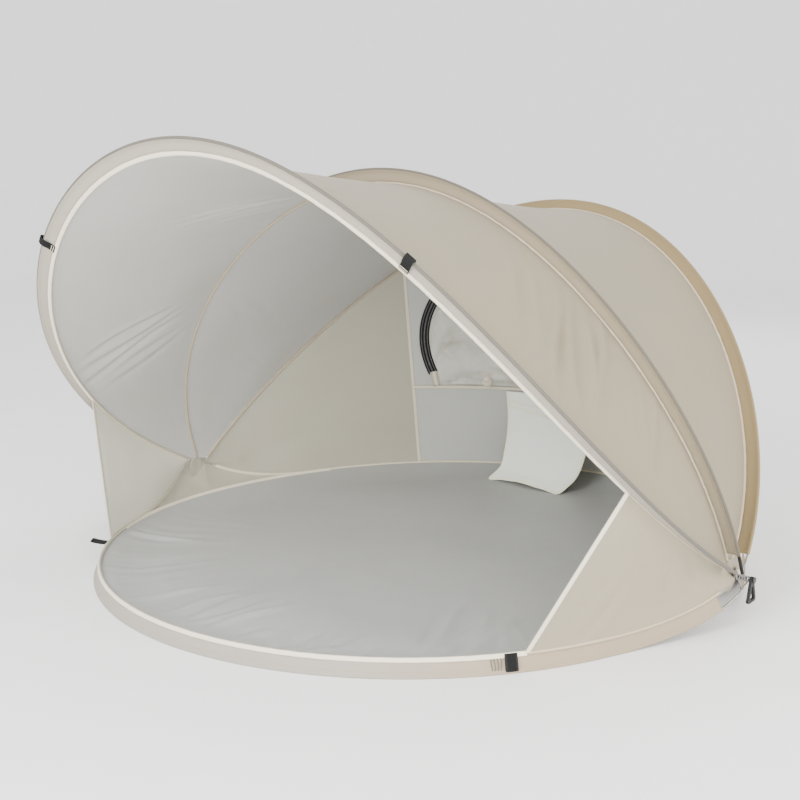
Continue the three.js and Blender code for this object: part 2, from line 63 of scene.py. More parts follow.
# How far each arch turns as the floor's rear arch folds over, as a share of that turn.
FOLD_SHARE = {"floor_rear": 1.0, "rear_hoop": 0.68, "mid_hoop": 0.40, "front_hoop": 0.25, "floor_front": 0.0}
REAR_GORE_HANG = 0.050
BODY = {
    "floor_front": "ground_frame", "floor_rear": "rear_floor_arch",
    "rear_hoop": "rear_arch", "mid_hoop": "mid_arch", "front_hoop": "front_arch",
}

SLEEVE_WIDTH = 0.0375
SEAM_OFFSET = 0.039
SEAM_SPLIT = 0.0022
CLOTH_THICKNESS = 0.0009
FLOOR_RIM_Z = 0.0375
HOOP_SLEEVE_END = 0.070
FLOOR_SLEEVE_END = 0.110

WING_HOOP_SHARE = 0.146
WING_FLOOR_X = 0.737
SILL_Z = 0.345
WINDOW_SPAN = 0.188
WINDOW_MIDDLE_Z = 0.472
WINDOW_HALF_HEIGHT = 0.407
ZIP_END_Z = 0.400
GUY_LOOP_SHARE = 0.331


# ---------------------------------------------------------------- small vector tools

def unit(v):
    return v / np.linalg.norm(v, axis=-1, keepdims=True)


def mix(a, b, t):
    return a + (b - a) * t


def smooth(low, high, x):
    t = np.clip((x - low) / (high - low), 0, 1)
    return t * t * (3 - 2 * t)


def fuzz(a, b, seed, detail=0):
    """Smooth noise from -1 to 1 over two arrays of coordinates."""
    a, b = np.broadcast_arrays(np.asarray(a, float), np.asarray(b, float))
    flat = np.empty(a.size)
    for i, (x, y) in enumerate(zip(a.ravel(), b.ravel())):
        flat[i] = noise.noise(Vector((x, y, seed * 7.31)))
    if detail:
        flat = flat + 0.5 * fuzz(a * 2.1, b * 2.1, seed + 3, detail - 1).ravel()
    return flat.reshape(a.shape)


# ---------------------------------------------------------------- the arches

class Arch:
    """A wire's centreline, read by share of its length from the right hub to the left one."""

    def __init__(self, points, flat):
        self.points = points
        steps = np.linalg.norm(np.diff(points, axis=0), axis=1)
        self.distance = np.concatenate([[0.0], np.cumsum(steps)])
        self.length = self.distance[-1]
        self.flat = flat
        self.centre = self.at(np.linspace(0, 1, 41)).mean(axis=0)

    def at(self, share):
        d = np.asarray(share, float) * self.length
        return np.stack([np.interp(d, self.distance, self.points[:, k]) for k in range(3)], axis=-1)

    def frame(self, share):
        """The point, the way along, the way across the sleeve and the way out of its face."""
        share = np.asarray(share, float)
        step = 0.003
        point = self.at(share)
        along = unit(self.at(np.minimum(share + step, 1)) - self.at(np.maximum(share - step, 0)))
        across = unit(self.centre - point)
        if self.flat:
            inward = across * np.array([1, 1, 0])
            across = unit(unit(inward) * 0.012 + np.array([0, 0, 0.030]))
        across = unit(across - (across * along).sum(-1, keepdims=True) * along)
        return point, along, across, np.cross(along, across)

    def off(self, share, across, out):
        point, _, inner, face = self.frame(share)
        return point + inner * across + face * out

    def seam(self, share, side):
        return self.off(share, SEAM_OFFSET - 0.002, side * SEAM_SPLIT)


def hoop_points(hoop):
    turn = np.linspace(0, math.pi, 1601)
    rise = np.maximum(np.sin(turn), 0)
    distance = hoop["reach"] * rise ** hoop["fullness"]
    angle = np.radians(mix(hoop["root"], hoop["crown"], rise))
    end_x = HUB[0] + hoop["knuckle"] * KNUCKLE_PITCH
    x = end_x * np.cos(turn) * (1 - hoop["waist"] * rise ** 2)
    return np.stack([x, HUB[1] - distance * np.cos(angle), HUB[2] + distance * np.sin(angle)], axis=-1)


def floor_points(far_y, side):
    """A floor arch lies on the ground and sweeps up to the hub at each end. side: -1 in front, 1 behind."""
    wire_z = 0.003
    ramp_turn, ramp_pull, hub_pull = 0.42, 0.240, 0.060
    turn = np.linspace(ramp_turn, math.pi - ramp_turn, 1001)
    depth = far_y - FLOOR_WIDEST_Y
    arc = np.stack([
        FLOOR_HALF_WIDTH * np.cos(turn),
        FLOOR_WIDEST_Y + depth * np.sin(turn),
        np.full(turn.shape, wire_z),
    ], axis=-1)
    ahead = unit(arc[1] - arc[0]) * ramp_pull
    end_x = HUB[0] - side * 2 * KNUCKLE_PITCH
    lift = np.array([
        [end_x, HUB[1], HUB[2]],
        [end_x - 0.005, HUB[1] + side * hub_pull, HUB[2] - hub_pull],
        arc[0] - ahead,
        arc[0],
    ])
    t = np.linspace(0, 1, 240)[:-1, None]
    bend = ((1 - t) ** 3 * lift[0] + 3 * (1 - t) ** 2 * t * lift[1]
            + 3 * (1 - t) * t ** 2 * lift[2] + t ** 3 * lift[3])
    mirrored = bend[::-1] * np.array([-1, 1, 1])
    return np.concatenate([bend, arc, mirrored])


ARCHES = {
    "floor_front": Arch(floor_points(FLOOR_FRONT_Y, -1), True),
    "floor_rear": Arch(floor_points(FLOOR_REAR_Y, 1), True),
    "rear_hoop": Arch(hoop_points(REAR_HOOP), False),
    "mid_hoop": Arch(hoop_points(MID_HOOP), False),
    "front_hoop": Arch(hoop_points(FRONT_HOOP), False),
}


# ---------------------------------------------------------------- materials

class Nodes:
    """A material's node tree, with short names for what every cloth needs."""

    def __init__(self, name):
        self.material = bpy.data.materials.new(name)
        self.material.use_nodes = True
        self.tree = self.material.node_tree
        self.shader = self.tree.nodes["Principled BSDF"]

    def add(self, kind, **values):
        node = self.tree.nodes.new(kind)
        for key, value in values.items():
            setattr(node, key, value)
        return node

    def link(self, source, target):
        self.tree.links.new(source, target)

    def cloth(self):
        return self.add("ShaderNodeAttribute", attribute_name="cloth").outputs["Vector"]

    def place(self):
        return self.add("ShaderNodeTexCoord").outputs["Object"]

    def wave(self, vector, direction, pitch, distortion=0.0):
        node = self.add("ShaderNodeTexWave", wave_type="BANDS", bands_direction=direction)
        node.inputs["Scale"].default_value = 0.31416 / pitch
        node.inputs["Distortion"].default_value = distortion
        self.link(vector, node.inputs["Vector"])
        return node.outputs["Fac"]

    def noise(self, vector, scale, detail=3.0, roughness=0.55):
        node = self.add("ShaderNodeTexNoise")
        node.inputs["Scale"].default_value = scale
        node.inputs["Detail"].default_value = detail
        node.inputs["Roughness"].default_value = roughness
        self.link(vector, node.inputs["Vector"])
        return node.outputs["Fac"]

    def math(self, operation, a, b=None, clamp=False):
        node = self.add("ShaderNodeMath", operation=operation, use_clamp=clamp)
        for socket, value in zip(node.inputs, (a, b)):
            if value is None:
                continue
            if hasattr(value, "links"):
                self.link(value, socket)
            else:
                socket.default_value = value
        return node.outputs[0]

    def ramp(self, factor, stops):
        node = self.add("ShaderNodeValToRGB")
        elements = node.color_ramp.elements
        while len(elements) < len(stops):
            elements.new(0.5)
        for element, (position, color) in zip(elements, stops):
            element.position = position
            element.color = (*color, 1)
        self.link(factor, node.inputs["Fac"])
        return node.outputs["Color"]

    def blend(self, factor, a, b, mode="MIX"):
        node = self.add("ShaderNodeMix", data_type="RGBA", blend_type=mode)
        for socket, value in ((node.inputs[0], factor), (node.inputs[6], a), (node.inputs[7], b)):
            if hasattr(value, "links"):
                self.link(value, socket)
            elif isinstance(value, tuple):
                socket.default_value = (*value, 1)
            else:
                socket.default_value = value
        return node.outputs[2]

    def bump(self, height, strength, distance):
        node = self.add("ShaderNodeBump")
        node.inputs["Strength"].default_value = strength
        node.inputs["Distance"].default_value = distance
        self.link(height, node.inputs["Height"])
        self.link(node.outputs["Normal"], self.shader.inputs["Normal"])

    def finish(self, color, roughness, sheen=0.0, metallic=0.0, specular=0.5):
        self.link(color, self.shader.inputs["Base Color"])
        if hasattr(roughness, "links"):
            self.link(roughness, self.shader.inputs["Roughness"])
        else:
            self.shader.inputs["Roughness"].default_value = roughness
        self.shader.inputs["Sheen Weight"].default_value = sheen
        self.shader.inputs["Sheen Roughness"].default_value = 0.5
        self.shader.inputs["Metallic"].default_value = metallic
        self.shader.inputs["Specular IOR Level"].default_value = specular
        return self.material


def shade(color, factor):
    return tuple(min(1.0, c * factor) for c in color)


def woven(name, color, thread=0.0009, rough=0.82, sheen=0.08, mottle=0.05, crease=0.25, stitches=(),
          warm=None, far=None, edge=None, rim=None):
    """Plain-weave cloth. Each stitch line is (distance across the cloth, stitch length). With a far colour,
    the cloth turns to it about a metre along. An edge colour is painted shade along a hoop's outer edge,
    a dark line for the wire's shadow. A tape is painted darker beyond its rim, a painted shadow line along
    its edges."""
    n = Nodes(name)
    at = n.cloth()
    warp = n.wave(at, "X", thread)
    weft = n.wave(at, "Y", thread)
    weave = n.math("MULTIPLY", warp, weft)
    slub = n.noise(at, 420, 2)
    patches = n.noise(at, 3.5, 3)
    cloudy = n.noise(at, 17, 4)
    tint = n.math("ADD", n.math("MULTIPLY", patches, 0.7), n.math("MULTIPLY", cloudy, 0.3))
    other = warm or shade(color, 1 - mottle)
    base = n.ramp(tint, [(0.3, other), (0.5, color), (0.72, shade(color, 1 + mottle * 0.6))])
    split = n.add("ShaderNodeSeparateXYZ")
    n.link(at, split.inputs[0])
    if far:
        turned = n.math("SUBTRACT", n.math("MULTIPLY", split.outputs["X"], 2.2), 1.5, clamp=True)
        base = n.blend(turned, base, far)
    base = n.blend(n.math("MULTIPLY", weave, 0.10), base, shade(color, 0.62))
    base = n.blend(n.math("MULTIPLY", slub, 0.07), base, shade(color, 1.15))
    # Painted shade: a dark line along the outer side of the wire's pocket, standing in for the wire's shadow.
    if edge:
        limit = n.math("SUBTRACT", n.math("MULTIPLY", cloudy, 0.002), 0.0006)
        painted_wire_shade = n.math("LESS_THAN", split.outputs["Y"], limit)
        base = n.blend(n.math("MULTIPLY", painted_wire_shade, 0.85), base, edge)
    # Painted shade: beyond its rim the tape is darker, a painted shadow line along both its edges.
    if rim:
        under = n.math("GREATER_THAN", n.math("ABSOLUTE", split.outputs["Y"]), rim)
        base = n.blend(n.math("MULTIPLY", under, 0.6), base, shade(color, 0.42))
    height = n.math("ADD", n.math("MULTIPLY", weave, 0.35), n.math("MULTIPLY", cloudy, crease))
    for across, length in stitches:
        away = n.math("ABSOLUTE", n.math("SUBTRACT", split.outputs["Y"], across))
        line = n.math("LESS_THAN", away, 0.0007)
        dash = n.math("LESS_THAN", n.math("FRACT", n.math("DIVIDE", split.outputs["X"], length)), 0.68)
        thread_mask = n.math("MULTIPLY", line, dash)
        base = n.blend(thread_mask, base, shade(color, 1.12))
        gap = n.math("SUBTRACT", line, thread_mask)
        base = n.blend(n.math("MULTIPLY", gap, 0.5), base, shade(color, 0.55))
        height = n.math("ADD", height, n.math("MULTIPLY", thread_mask, 0.8))
    n.bump(height, 0.35, 0.0006)
    return n.finish(base, rough, sheen)


def coated(name, color, rough=0.55, warm=None, patch=2.6):
    """Cloth with a thin coating: the weave shows only faintly, and small creases catch the light."""
    n = Nodes(name)
    at = n.cloth()
    weave = n.math("MULTIPLY", n.wave(at, "X", 0.0011), n.wave(at, "Y", 0.0011))
    creases = n.noise(at, 30, 5, 0.6)
    # Blotches of tone. On the window cover they are large and strong: painted shade and light, standing in
    # for the shading of its creases.
    patches = n.noise(at, patch, 3)
    base = n.ramp(patches, [(0.3, warm or shade(color, 0.95)), (0.52, color), (0.75, shade(color, 1.04))])
    base = n.blend(n.math("MULTIPLY", creases, 0.06), base, shade(color, 0.7))
    base = n.blend(n.math("MULTIPLY", weave, 0.05), base, shade(color, 0.7))
    roughness = n.math("ADD", n.math("MULTIPLY", creases, 0.15), rough - 0.07)
    n.bump(n.math("ADD", n.math("MULTIPLY", weave, 0.2), n.math("MULTIPLY", creases, 0.5)), 0.3, 0.0006)
    return n.finish(base, roughness, 0.05)


def ribbed(name, color, pitch=0.0018, rough=0.7, edge=0.0125):
    """Woven webbing: ribs across it, a herringbone of finer threads, and worn, paler selvedges."""
    n = Nodes(name)
    at = n.cloth()
    ribs = n.wave(at, "X", pitch)
    threads = n.wave(at, "DIAGONAL", pitch * 0.6, 0.6)
    split = n.add("ShaderNodeSeparateXYZ")
    n.link(at, split.inputs[0])
    side = n.math("ABSOLUTE", split.outputs["Y"])
    worn = n.math("MULTIPLY", n.math("GREATER_THAN", side, edge * 0.86), n.noise(at, 180, 3))
    base = n.blend(n.math("MULTIPLY", ribs, 0.5), shade(color, 0.6), shade(color, 1.5))
    base = n.blend(n.math("MULTIPLY", threads, 0.25), base, shade(color, 2.2))
    base = n.blend(n.math("MULTIPLY", worn, 0.3), base, (0.07, 0.07, 0.068))
    n.bump(n.math("ADD", ribs, n.math("MULTIPLY", threads, 0.4)), 0.6, 0.0005)
    return n.finish(base, rough, specular=0.2)


def moulded(name, color, rough=0.45):
    """Moulded plastic: fine spark-eroded grain, with scuffs that are paler and rougher."""
    n = Nodes(name)
    at = n.place()
    grain = n.noise(at, 1400, 2)
    scuffs = n.noise(at, 90, 5, 0.7)
    base = n.ramp(scuffs, [(0.45, color), (0.62, shade(color, 1.4)), (0.8, shade(color, 3.0))])
    roughness = n.math("ADD", n.math("MULTIPLY", scuffs, 0.25), rough - 0.1)
    n.bump(grain, 0.25, 0.0002)
    return n.finish(base, roughness, specular=0.3)


def steel(name, color, rough=0.32):
    """Drawn spring wire: lengthwise scratches, dull spots and a slight straw tint."""
    n = Nodes(name)
    at = n.place()
    scratches = n.noise(at, 900, 3)
    spots = n.noise(at, 60, 4, 0.65)
    base = n.ramp(spots, [(0.35, shade(color, 0.75)), (0.55, color), (0.8, (0.62, 0.55, 0.44))])
    roughness = n.math("ADD", n.math("MULTIPLY", scratches, 0.3), rough - 0.12)
    n.bump(scratches, 0.2, 0.0002)
    return n.finish(base, roughness, metallic=1.0)


CANOPY_OUT = woven("canopy_cloth_outside", (0.240, 0.200, 0.130), mottle=0.05, warm=(0.232, 0.205, 0.142))
CANOPY_IN = coated("canopy_coating_inside", (0.495, 0.487, 0.456), 0.6, warm=(0.485, 0.462, 0.41))
WALL_IN = coated("wall_coating_inside", (0.435, 0.412, 0.325), 0.65, warm=(0.44, 0.40, 0.315))
WALL_GREY = coated("wall_panel_inside", (0.515, 0.518, 0.485), 0.6)
WING_OUT = woven("wing_cloth_outside", (0.300, 0.258, 0.182), mottle=0.04)
# The wing's inside is a much paler copy of the inside coating: painted light, standing in for daylight
# shining through the wing.
WING_IN_LIT = coated("wing_coating_inside_lit", (0.77, 0.755, 0.62), 0.65)
FLOOR_TOP = coated("floor_coating", (0.368, 0.372, 0.358), 0.5, warm=(0.345, 0.350, 0.338))
FLOOR_UNDER = coated("floor_underside", (0.33, 0.32, 0.30), 0.6)
SLEEVE_LINES = ((0.0105, 0.0042), (0.0330, 0.0042))
# The edge colours of these two sleeves are painted shade: a dark line for the wire's shadow along the outer
# edge.
SLEEVE_CREAM = woven("sleeve_cloth_cream", (0.262, 0.218, 0.146), stitches=SLEEVE_LINES,
                     edge=(0.075, 0.065, 0.05))
SLEEVE_FRONT = woven("sleeve_cloth_front", (0.33, 0.295, 0.235), stitches=SLEEVE_LINES,
                     edge=(0.065, 0.058, 0.045))
SLEEVE_FLOOR = woven("sleeve_cloth_floor", (0.315, 0.25, 0.168), stitches=SLEEVE_LINES,
                     far=(0.315, 0.292, 0.248))
# A darker, browner copy of the sleeve cloth for the rear sleeves: painted shade, standing in for how they
# look in shade with light coming through them from behind.
SLEEVE_SHADED = woven("sleeve_cloth_shaded", (0.215, 0.156, 0.070), stitches=SLEEVE_LINES,
                   warm=(0.208, 0.152, 0.074))
TAPE_LINES = ((-0.0038, 0.0036), (0.0038, 0.0036))
# The binding's darker rims are painted shadow lines along both edges of the tape.
BINDING = woven("binding_tape", (0.76, 0.685, 0.53), thread=0.0012, crease=0.15, stitches=TAPE_LINES,
                rim=0.0052)
BINDING_PEACH = woven("binding_tape_peach", (0.44, 0.365, 0.262), thread=0.0012, crease=0.15,
                      stitches=TAPE_LINES)
FLAP = woven("flap_cloth", (0.95, 1.0, 0.91), rough=0.7, mottle=0.05, crease=0.6)
FLAP_BINDING = woven("flap_binding", (0.95, 0.96, 0.76), thread=0.0012, stitches=((0.0, 0.0036),))
# The window cover's large dark and pale blotches are painted shade and light for its creases.
COVER = coated("window_cover_cloth", (0.66, 0.64, 0.58), 0.6, warm=(0.53, 0.50, 0.42), patch=9)
ZIP_TAPE = ribbed("zip_tape", (0.012, 0.012, 0.013), 0.0011, 0.8, 0.014)
ZIP_COIL = moulded("zip_coil", (0.10, 0.10, 0.10), 0.45)
WEBBING = ribbed("black_webbing", (0.007, 0.007, 0.007), rough=0.85)
PLASTIC = moulded("black_plastic", (0.006, 0.006, 0.0065), 0.5)
WIRE = steel("spring_wire", (0.33, 0.325, 0.31))
PIN = steel("pin_steel", (0.10, 0.10, 0.10), 0.45)
SLIDER_PAINT = moulded("slider_paint", (0.02, 0.02, 0.021), 0.35)
TOGGLE = moulded("toggle_plastic", (0.62, 0.57, 0.46), 0.5)


# ---------------------------------------------------------------- mesh tools

def mesh_object(name, points, faces, cloth, materials, face_material=None, smooth_faces=True):
    mesh = bpy.data.meshes.new(name)
    mesh.from_pydata(np.asarray(points).reshape(-1, 3).tolist(), [], [list(map(int, f)) for f in faces])
    attribute = mesh.attributes.new("cloth", "FLOAT_VECTOR", "POINT")
    attribute.data.foreach_set("vector", np.asarray(cloth, np.float32).reshape(-1))
    for material in materials:
        mesh.materials.append(material)
    if face_material is not None:
        mesh.polygons.foreach_set("material_index", np.asarray(face_material, np.int32))
    mesh.polygons.foreach_set("use_smooth", [smooth_faces] * len(mesh.polygons))
    mesh.update()
    piece = bpy.data.objects.new(name, mesh)
    bpy.context.scene.collection.objects.link(piece)
    return piece


def grid_faces(rows, columns, wrap=False):
    index = np.arange(rows * columns).reshape(rows, columns)
    if wrap:
        index = np.concatenate([index, index[:, :1]], axis=1)
    return np.stack([index[:-1, :-1], index[:-1, 1:], index[1:, 1:], index[1:, :-1]], axis=-1).reshape(-1, 4)


def grid_normals(points):
    """Normals on the side that grid_faces turns its faces to."""
    down = np.gradient(points, axis=0)
    right = np.gradient(points, axis=1)
    return unit(np.cross(right, down))


def cloth_coordinates(points):
    """Distances in metres along the middle row and down the middle column of a grid."""
    middle_row = points[points.shape[0] // 2]
    middle_column = points[:, points.shape[1] // 2]
    along = np.concatenate([[0], np.cumsum(np.linalg.norm(np.diff(middle_row, axis=0), axis=1))])
    down = np.concatenate([[0], np.cumsum(np.linalg.norm(np.diff(middle_column, axis=0), axis=1))])
    s, t = np.meshgrid(along, down)
    return np.stack([s, t, np.zeros_like(s)], axis=-1)


def grid_area(points):
    near, far = points[:-1, :-1], points[1:, 1:]
    below, beside = points[1:, :-1], points[:-1, 1:]
    near_half = np.linalg.norm(np.cross(below - near, beside - near), axis=-1)
    far_half = np.linalg.norm(np.cross(below - far, beside - far), axis=-1)
    return float((near_half.sum() + far_half.sum()) / 2)


def sheet_piece(name, points, outward, materials, thickness=CLOTH_THICKNESS, face_material=None):
    """A grid of points as thin two-faced cloth: the first material outside, the second inside."""
    rows, columns = points.shape[:2]
    faces = grid_faces(rows, columns)
    if (grid_normals(points) * outward).sum() < 0:
        faces = faces[:, ::-1]
    piece = mesh_object(name, points, faces, cloth_coordinates(points), materials, face_material)
    solid = piece.modifiers.new("thickness", "SOLIDIFY")
    solid.thickness = thickness
    solid.offset = 0
    if len(materials) > 1:
        solid.material_offset = 1
    return piece


def loft_piece(name, sections, cloth, materials, smooth_faces=True):
    """Closed outlines of equal size joined into one body with capped ends."""
    rows, columns = sections.shape[:2]
    faces = [list(f) for f in grid_faces(rows, columns, wrap=True)]
    last = (rows - 1) * columns
    faces.append(list(range(columns))[::-1])
    faces.append([last + k for k in range(columns)])
    return mesh_object(name, sections, faces, cloth, materials, smooth_faces=smooth_faces)


def strip_piece(name, centres, normals, width, thickness, materials, rounding=0.35, width_scale=None):
    """A flat tape along a line of points, with softened edges."""
    along = unit(np.gradient(centres, axis=0))
    across = unit(np.cross(along, normals))
    face = np.cross(across, along)
    half = width / 2
    edge = min(half * 0.9, thickness * rounding + 0.0004)
    profile = np.array([
        [-half, 0], [-half + edge * 0.4, 0.45], [-half + edge, 0.5], [0, 0.5], [half - edge, 0.5],
        [half - edge * 0.4, 0.45], [half, 0], [half - edge * 0.4, -0.45], [half - edge, -0.5], [0, -0.5],
        [-half + edge, -0.5], [-half + edge * 0.4, -0.45],
    ])
    scale = np.ones(len(centres)) if width_scale is None else width_scale
    sections = (centres[:, None] + across[:, None] * (profile[None, :, :1] * scale[:, None, None])
                + face[:, None] * profile[None, :, 1:] * thickness)
    distance = np.concatenate([[0], np.cumsum(np.linalg.norm(np.diff(centres, axis=0), axis=1))])
    cloth = np.zeros(sections.shape)
    cloth[..., 0] = distance[:, None]
    cloth[..., 1] = profile[None, :, 0]
    return loft_piece(name, sections, cloth, materials)


def declare(points):
    """Works out the sheet's area and its flat cloth coordinates, and uses neither."""
    area = grid_area(points)
    coordinates = cloth_coordinates(points)


def follow_fan(piece, shares):
    """Bakes the piece's transform into its mesh. Every arch turns about the one hub axis at a fixed share of
    the rear floor arch's turn, but this does not turn the piece."""
    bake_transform(piece)


def follow_by_ring(piece, shares):
    """The same for a strip or tube, with one share for each of the rings of vertices along it."""
    follow_fan(piece, np.repeat(shares, len(piece.data.vertices) // len(shares)))


# ---------------------------------------------------------------- sleeves and bindings

def sleeve_profile():
    """Across and out distances of a wire's round pocket and the flat fin that runs in from it."""
    pocket = [(0.0046 * -math.cos(a), 0.0046 * math.sin(a)) for a in np.radians(np.arange(-125, 126, 25))]
    fin = [(0.0085, 0.0011), (0.016, 0.0009), (0.026, 0.0009), (SLEEVE_WIDTH, 0.0008)]
    lower = [(a, -o) for a, o in reversed(fin)]
    return np.array(pocket + fin + lower)


def sleeve(name, material, end):
    arch = ARCHES[name]
    profile = sleeve_profile()
    share = np.linspace(end / arch.length, 1 - end / arch.length, 420)
    distance = share * arch.length
    point, _, across, out = arch.frame(share)
    lean = 0.0013 * fuzz(distance * 28, 0, 1, 1) + 0.0015 * fuzz(distance * 7, 0, 2)
    pucker = 0.0005 * fuzz(distance * 90, 0, 3)
    a = profile[None, :, 0] + 0.0004 * fuzz(distance * 60, 0, 4)[:, None] * (profile[None, :, 0] > 0.02)
    o = profile[None, :, 1] + (lean + pucker)[:, None] * smooth(0.004, SLEEVE_WIDTH, profile[None, :, 0])
    sections = point[:, None] + across[:, None] * a[..., None] + out[:, None] * o[..., None]
    sections[..., 2] = np.maximum(sections[..., 2], 0.0003)
    cloth = np.zeros(sections.shape)
    cloth[..., 0] = distance[:, None]
    cloth[..., 1] = profile[None, :, 0]
    piece = loft_piece(f"{name}_sewn_sleeve", sections, cloth, [material])
    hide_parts(f"{name}_sleeve")
    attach(piece, BODY[name])


def binding(name, material, width=0.0135, reach=(0.045, 0.045), suffix="binding"):
    """The folded tape that covers the seam along a sleeve's inner edge."""
    arch = ARCHES[name]
    share = np.linspace(reach[0] / arch.length, 1 - reach[1] / arch.length, 620)
    distance = share * arch.length
    point, _, across, out = arch.frame(share)
    wander = 0.0005 * fuzz(distance * 40, 0, 6)
    centre = point + across * (SEAM_OFFSET - 0.0005 + wander)[:, None]
    centre = centre + out * (0.0004 * fuzz(distance * 75, 0, 7))[:, None]
    piece = strip_piece(f"{name}_{suffix}", centre, out, width, 0.0075, [material], rounding=0.5)
    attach(piece, BODY[name])


def wing_seam(name, start, end):
    """Beside the right wing the seam has only a narrow tape, of the wing's own colour."""
    binding(name, BINDING_PEACH, width=0.0075, reach=(start, ARCHES[name].length - end), suffix="wing_seam")


# ---------------------------------------------------------------- canopy

def fold_group(s, t, start, end, count, pitch, height, seed):
    """Tension folds side by side in the cloth. The first runs from start to end, in metres along and across
    it, and the others lie a pitch apart, each of its own length and height, wavering and fading out."""
    start, end = np.array(start), np.array(end)
    length = np.linalg.norm(end - start)
    forward = (end - start) / length
    p = (s - start[0]) * forward[0] + (t - start[1]) * forward[1]
    q = (s - start[0]) * -forward[1] + (t - start[1]) * forward[0]
    beside = np.abs(q - count * pitch / 2) < (count / 2 + 2) * pitch
    near = (p > -0.6 * length) & (p < 1.6 * length) & beside
    relief = np.zeros(s.shape)
    p, q = p[near], q[near]
    total = np.zeros(p.shape)
    for k in range(count):
        own = noise.noise(Vector((k * 1.7, seed, 0.3)))
        waver = 0.22 * pitch * np.sin(p / length * 4.2 + k * 1.9 + seed)
        away = (q - k * pitch * (1 + 0.14 * own) - waver) / (0.27 * pitch)
        middle = (0.5 + 0.16 * own) * length
        reach = (0.42 + 0.16 * noise.noise(Vector((k * 2.3, seed, 7.7)))) * length
        run = np.exp(-np.abs((p - middle) / reach) ** 3)
        ridge = np.exp(-away ** 2) - 0.45 * np.exp(-((away - 1.9) / 1.1) ** 2)
        total += height * (0.75 + 0.6 * own) * run * ridge
    relief[near] = total
    return relief


def soft_folds(s, t, v, seed, amount):
    """Faint folds from seam to seam, in patches, over the broad unevenness of stretched cloth."""
    patch = smooth(0.0, 0.5, fuzz(s * 1.9, t * 0.8, seed))
    bent = s + 0.04 * fuzz(s * 3, t * 3, seed + 1) + 0.10 * t
    ridge = 1 - np.abs(fuzz(bent / 0.06, t * 1.2, seed + 2)) * 2
    broad = 0.0045 * fuzz(s * 3.2, t * 2.2, seed + 5)
    return (amount * patch * ridge + broad) * smooth(0, 0.08, v) * smooth(0, 0.08, 1 - v)


def seam_puckers(s, t, span, seed):
    """The short gathers that a sewn seam draws into the cloth beside it."""
    beside = np.exp(-t / 0.022) + np.exp(-(span - t) / 0.022)
    return 0.0011 * fuzz(s / 0.016, 0, seed) * beside


# Where the cloth pulls into folds: the first fold's two ends, how many there are, their pitch and height.
# Each end is (metres along the lower hoop from the right hub, metres up from its seam).
FRONT_FOLDS = (
    ((2.55, 0.05), (2.69, 0.33), 5, 0.040, 0.0068),
    ((1.88, 0.01), (2.04, 0.27), 4, 0.028, 0.0075),
    ((1.02, 0.12), (0.84, 0.44), 6, 0.053, 0.0120),
    ((0.62, 0.05), (0.50, 0.24), 3, 0.038, 0.0050),
    ((1.45, 0.50), (1.40, 0.66), 3, 0.050, 0.0020),
)
REAR_FOLDS = (
    ((2.53, 0.62), (2.67, 0.32), 2, 0.060, 0.0030),
    ((0.66, 0.32), (0.55, 0.10), 3, 0.045, 0.0026),
    ((1.16, 0.10), (1.10, 0.36), 2, 0.070, 0.0022),
    ((2.95, 0.10), (2.86, 0.30), 2, 0.040, 0.0022),
)


def gore(name, node, lower, lower_side, upper, upper_side, seed, amount, groups):
    """One curved sheet between two hoops: lower is the hoop behind, upper the one in front."""
    columns, rows = 460, 110
    share = np.linspace(0.010, 0.990, columns)
    v = np.linspace(0, 1, rows)[:, None]
    back = ARCHES[lower].seam(share, lower_side)
    front = ARCHES[upper].seam(share, upper_side)
    points = mix(back[None], front[None], v[..., None])
    flat = cloth_coordinates(points)
    s, t = flat[..., 0], flat[..., 1]
    span = np.linalg.norm(front - back, axis=-1)[None]
    normal = grid_normals(points)
    axis_side = np.sign((normal * (points - np.array([0, HUB[1], HUB[2]]))).sum(-1, keepdims=True))
    outward = normal * axis_side
    sag = -0.055 * span * v * (1 - v)
    local_t = v * span
    relief = sag + soft_folds(s, t, v, seed, amount) * smooth(0, 0.5, span)
    relief = relief + seam_puckers(s, local_t, span, seed + 9) * smooth(0, 0.12, span)
    hold = smooth(0, 0.03, v) * smooth(0, 0.03, 1 - v)
    along = (share * ARCHES[lower].length)[None] * np.ones_like(v)
    for group in groups:
        relief = relief + hold * fold_group(along, local_t, *group, seed + len(groups))
    points = points + outward * relief[..., None]
    piece = sheet_piece(name, points, outward, [CANOPY_OUT, CANOPY_IN])
    # The rear gore's middle is given a little more than its hoops' share of the turn, meant to keep the
    # window cover under it; nothing turns the gore.
    hang = (REAR_GORE_HANG if lower == "rear_hoop" else 0.0) * np.sin(math.pi * v) * (1 - v)
    weight = (mix(FOLD_SHARE[lower], FOLD_SHARE[upper], v) + hang) * np.ones_like(s)
    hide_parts(node)
    declare(points)
    follow_fan(piece, weight)
    return piece


# ---------------------------------------------------------------- rear wall

def floor_share_at(arch, x):
    share = np.linspace(0.02, 0.98, 3000)
    along = arch.at(share)[:, 0]
    return np.interp(-np.asarray(x, float), -along, share)


def wall_foot_share(share):
    share = np.asarray(share, float)
    corner = 0.03
    inner = np.clip(share, corner, 1 - corner)
    at = floor_share_at(ARCHES["floor_rear"], FLOOR_HALF_WIDTH * np.cos(math.pi * inner))
    low = at * share / corner
    high = 1 - (1 - at) * (1 - share) / corner
    return np.where(share < corner, low, np.where(share > 1 - corner, high, at))


def wall_foot(share):
    return ARCHES["floor_rear"].seam(wall_foot_share(share), 0)


def wall_head(share):
    return ARCHES["rear_hoop"].seam(share, -1)


def wall_rise(share, z):
    """How far up the wall a height is: 0 at the floor seam, 1 at the rear hoop."""
    foot, head = wall_foot(share), wall_head(share)
    return (z - foot[..., 2]) / (head[..., 2] - foot[..., 2])


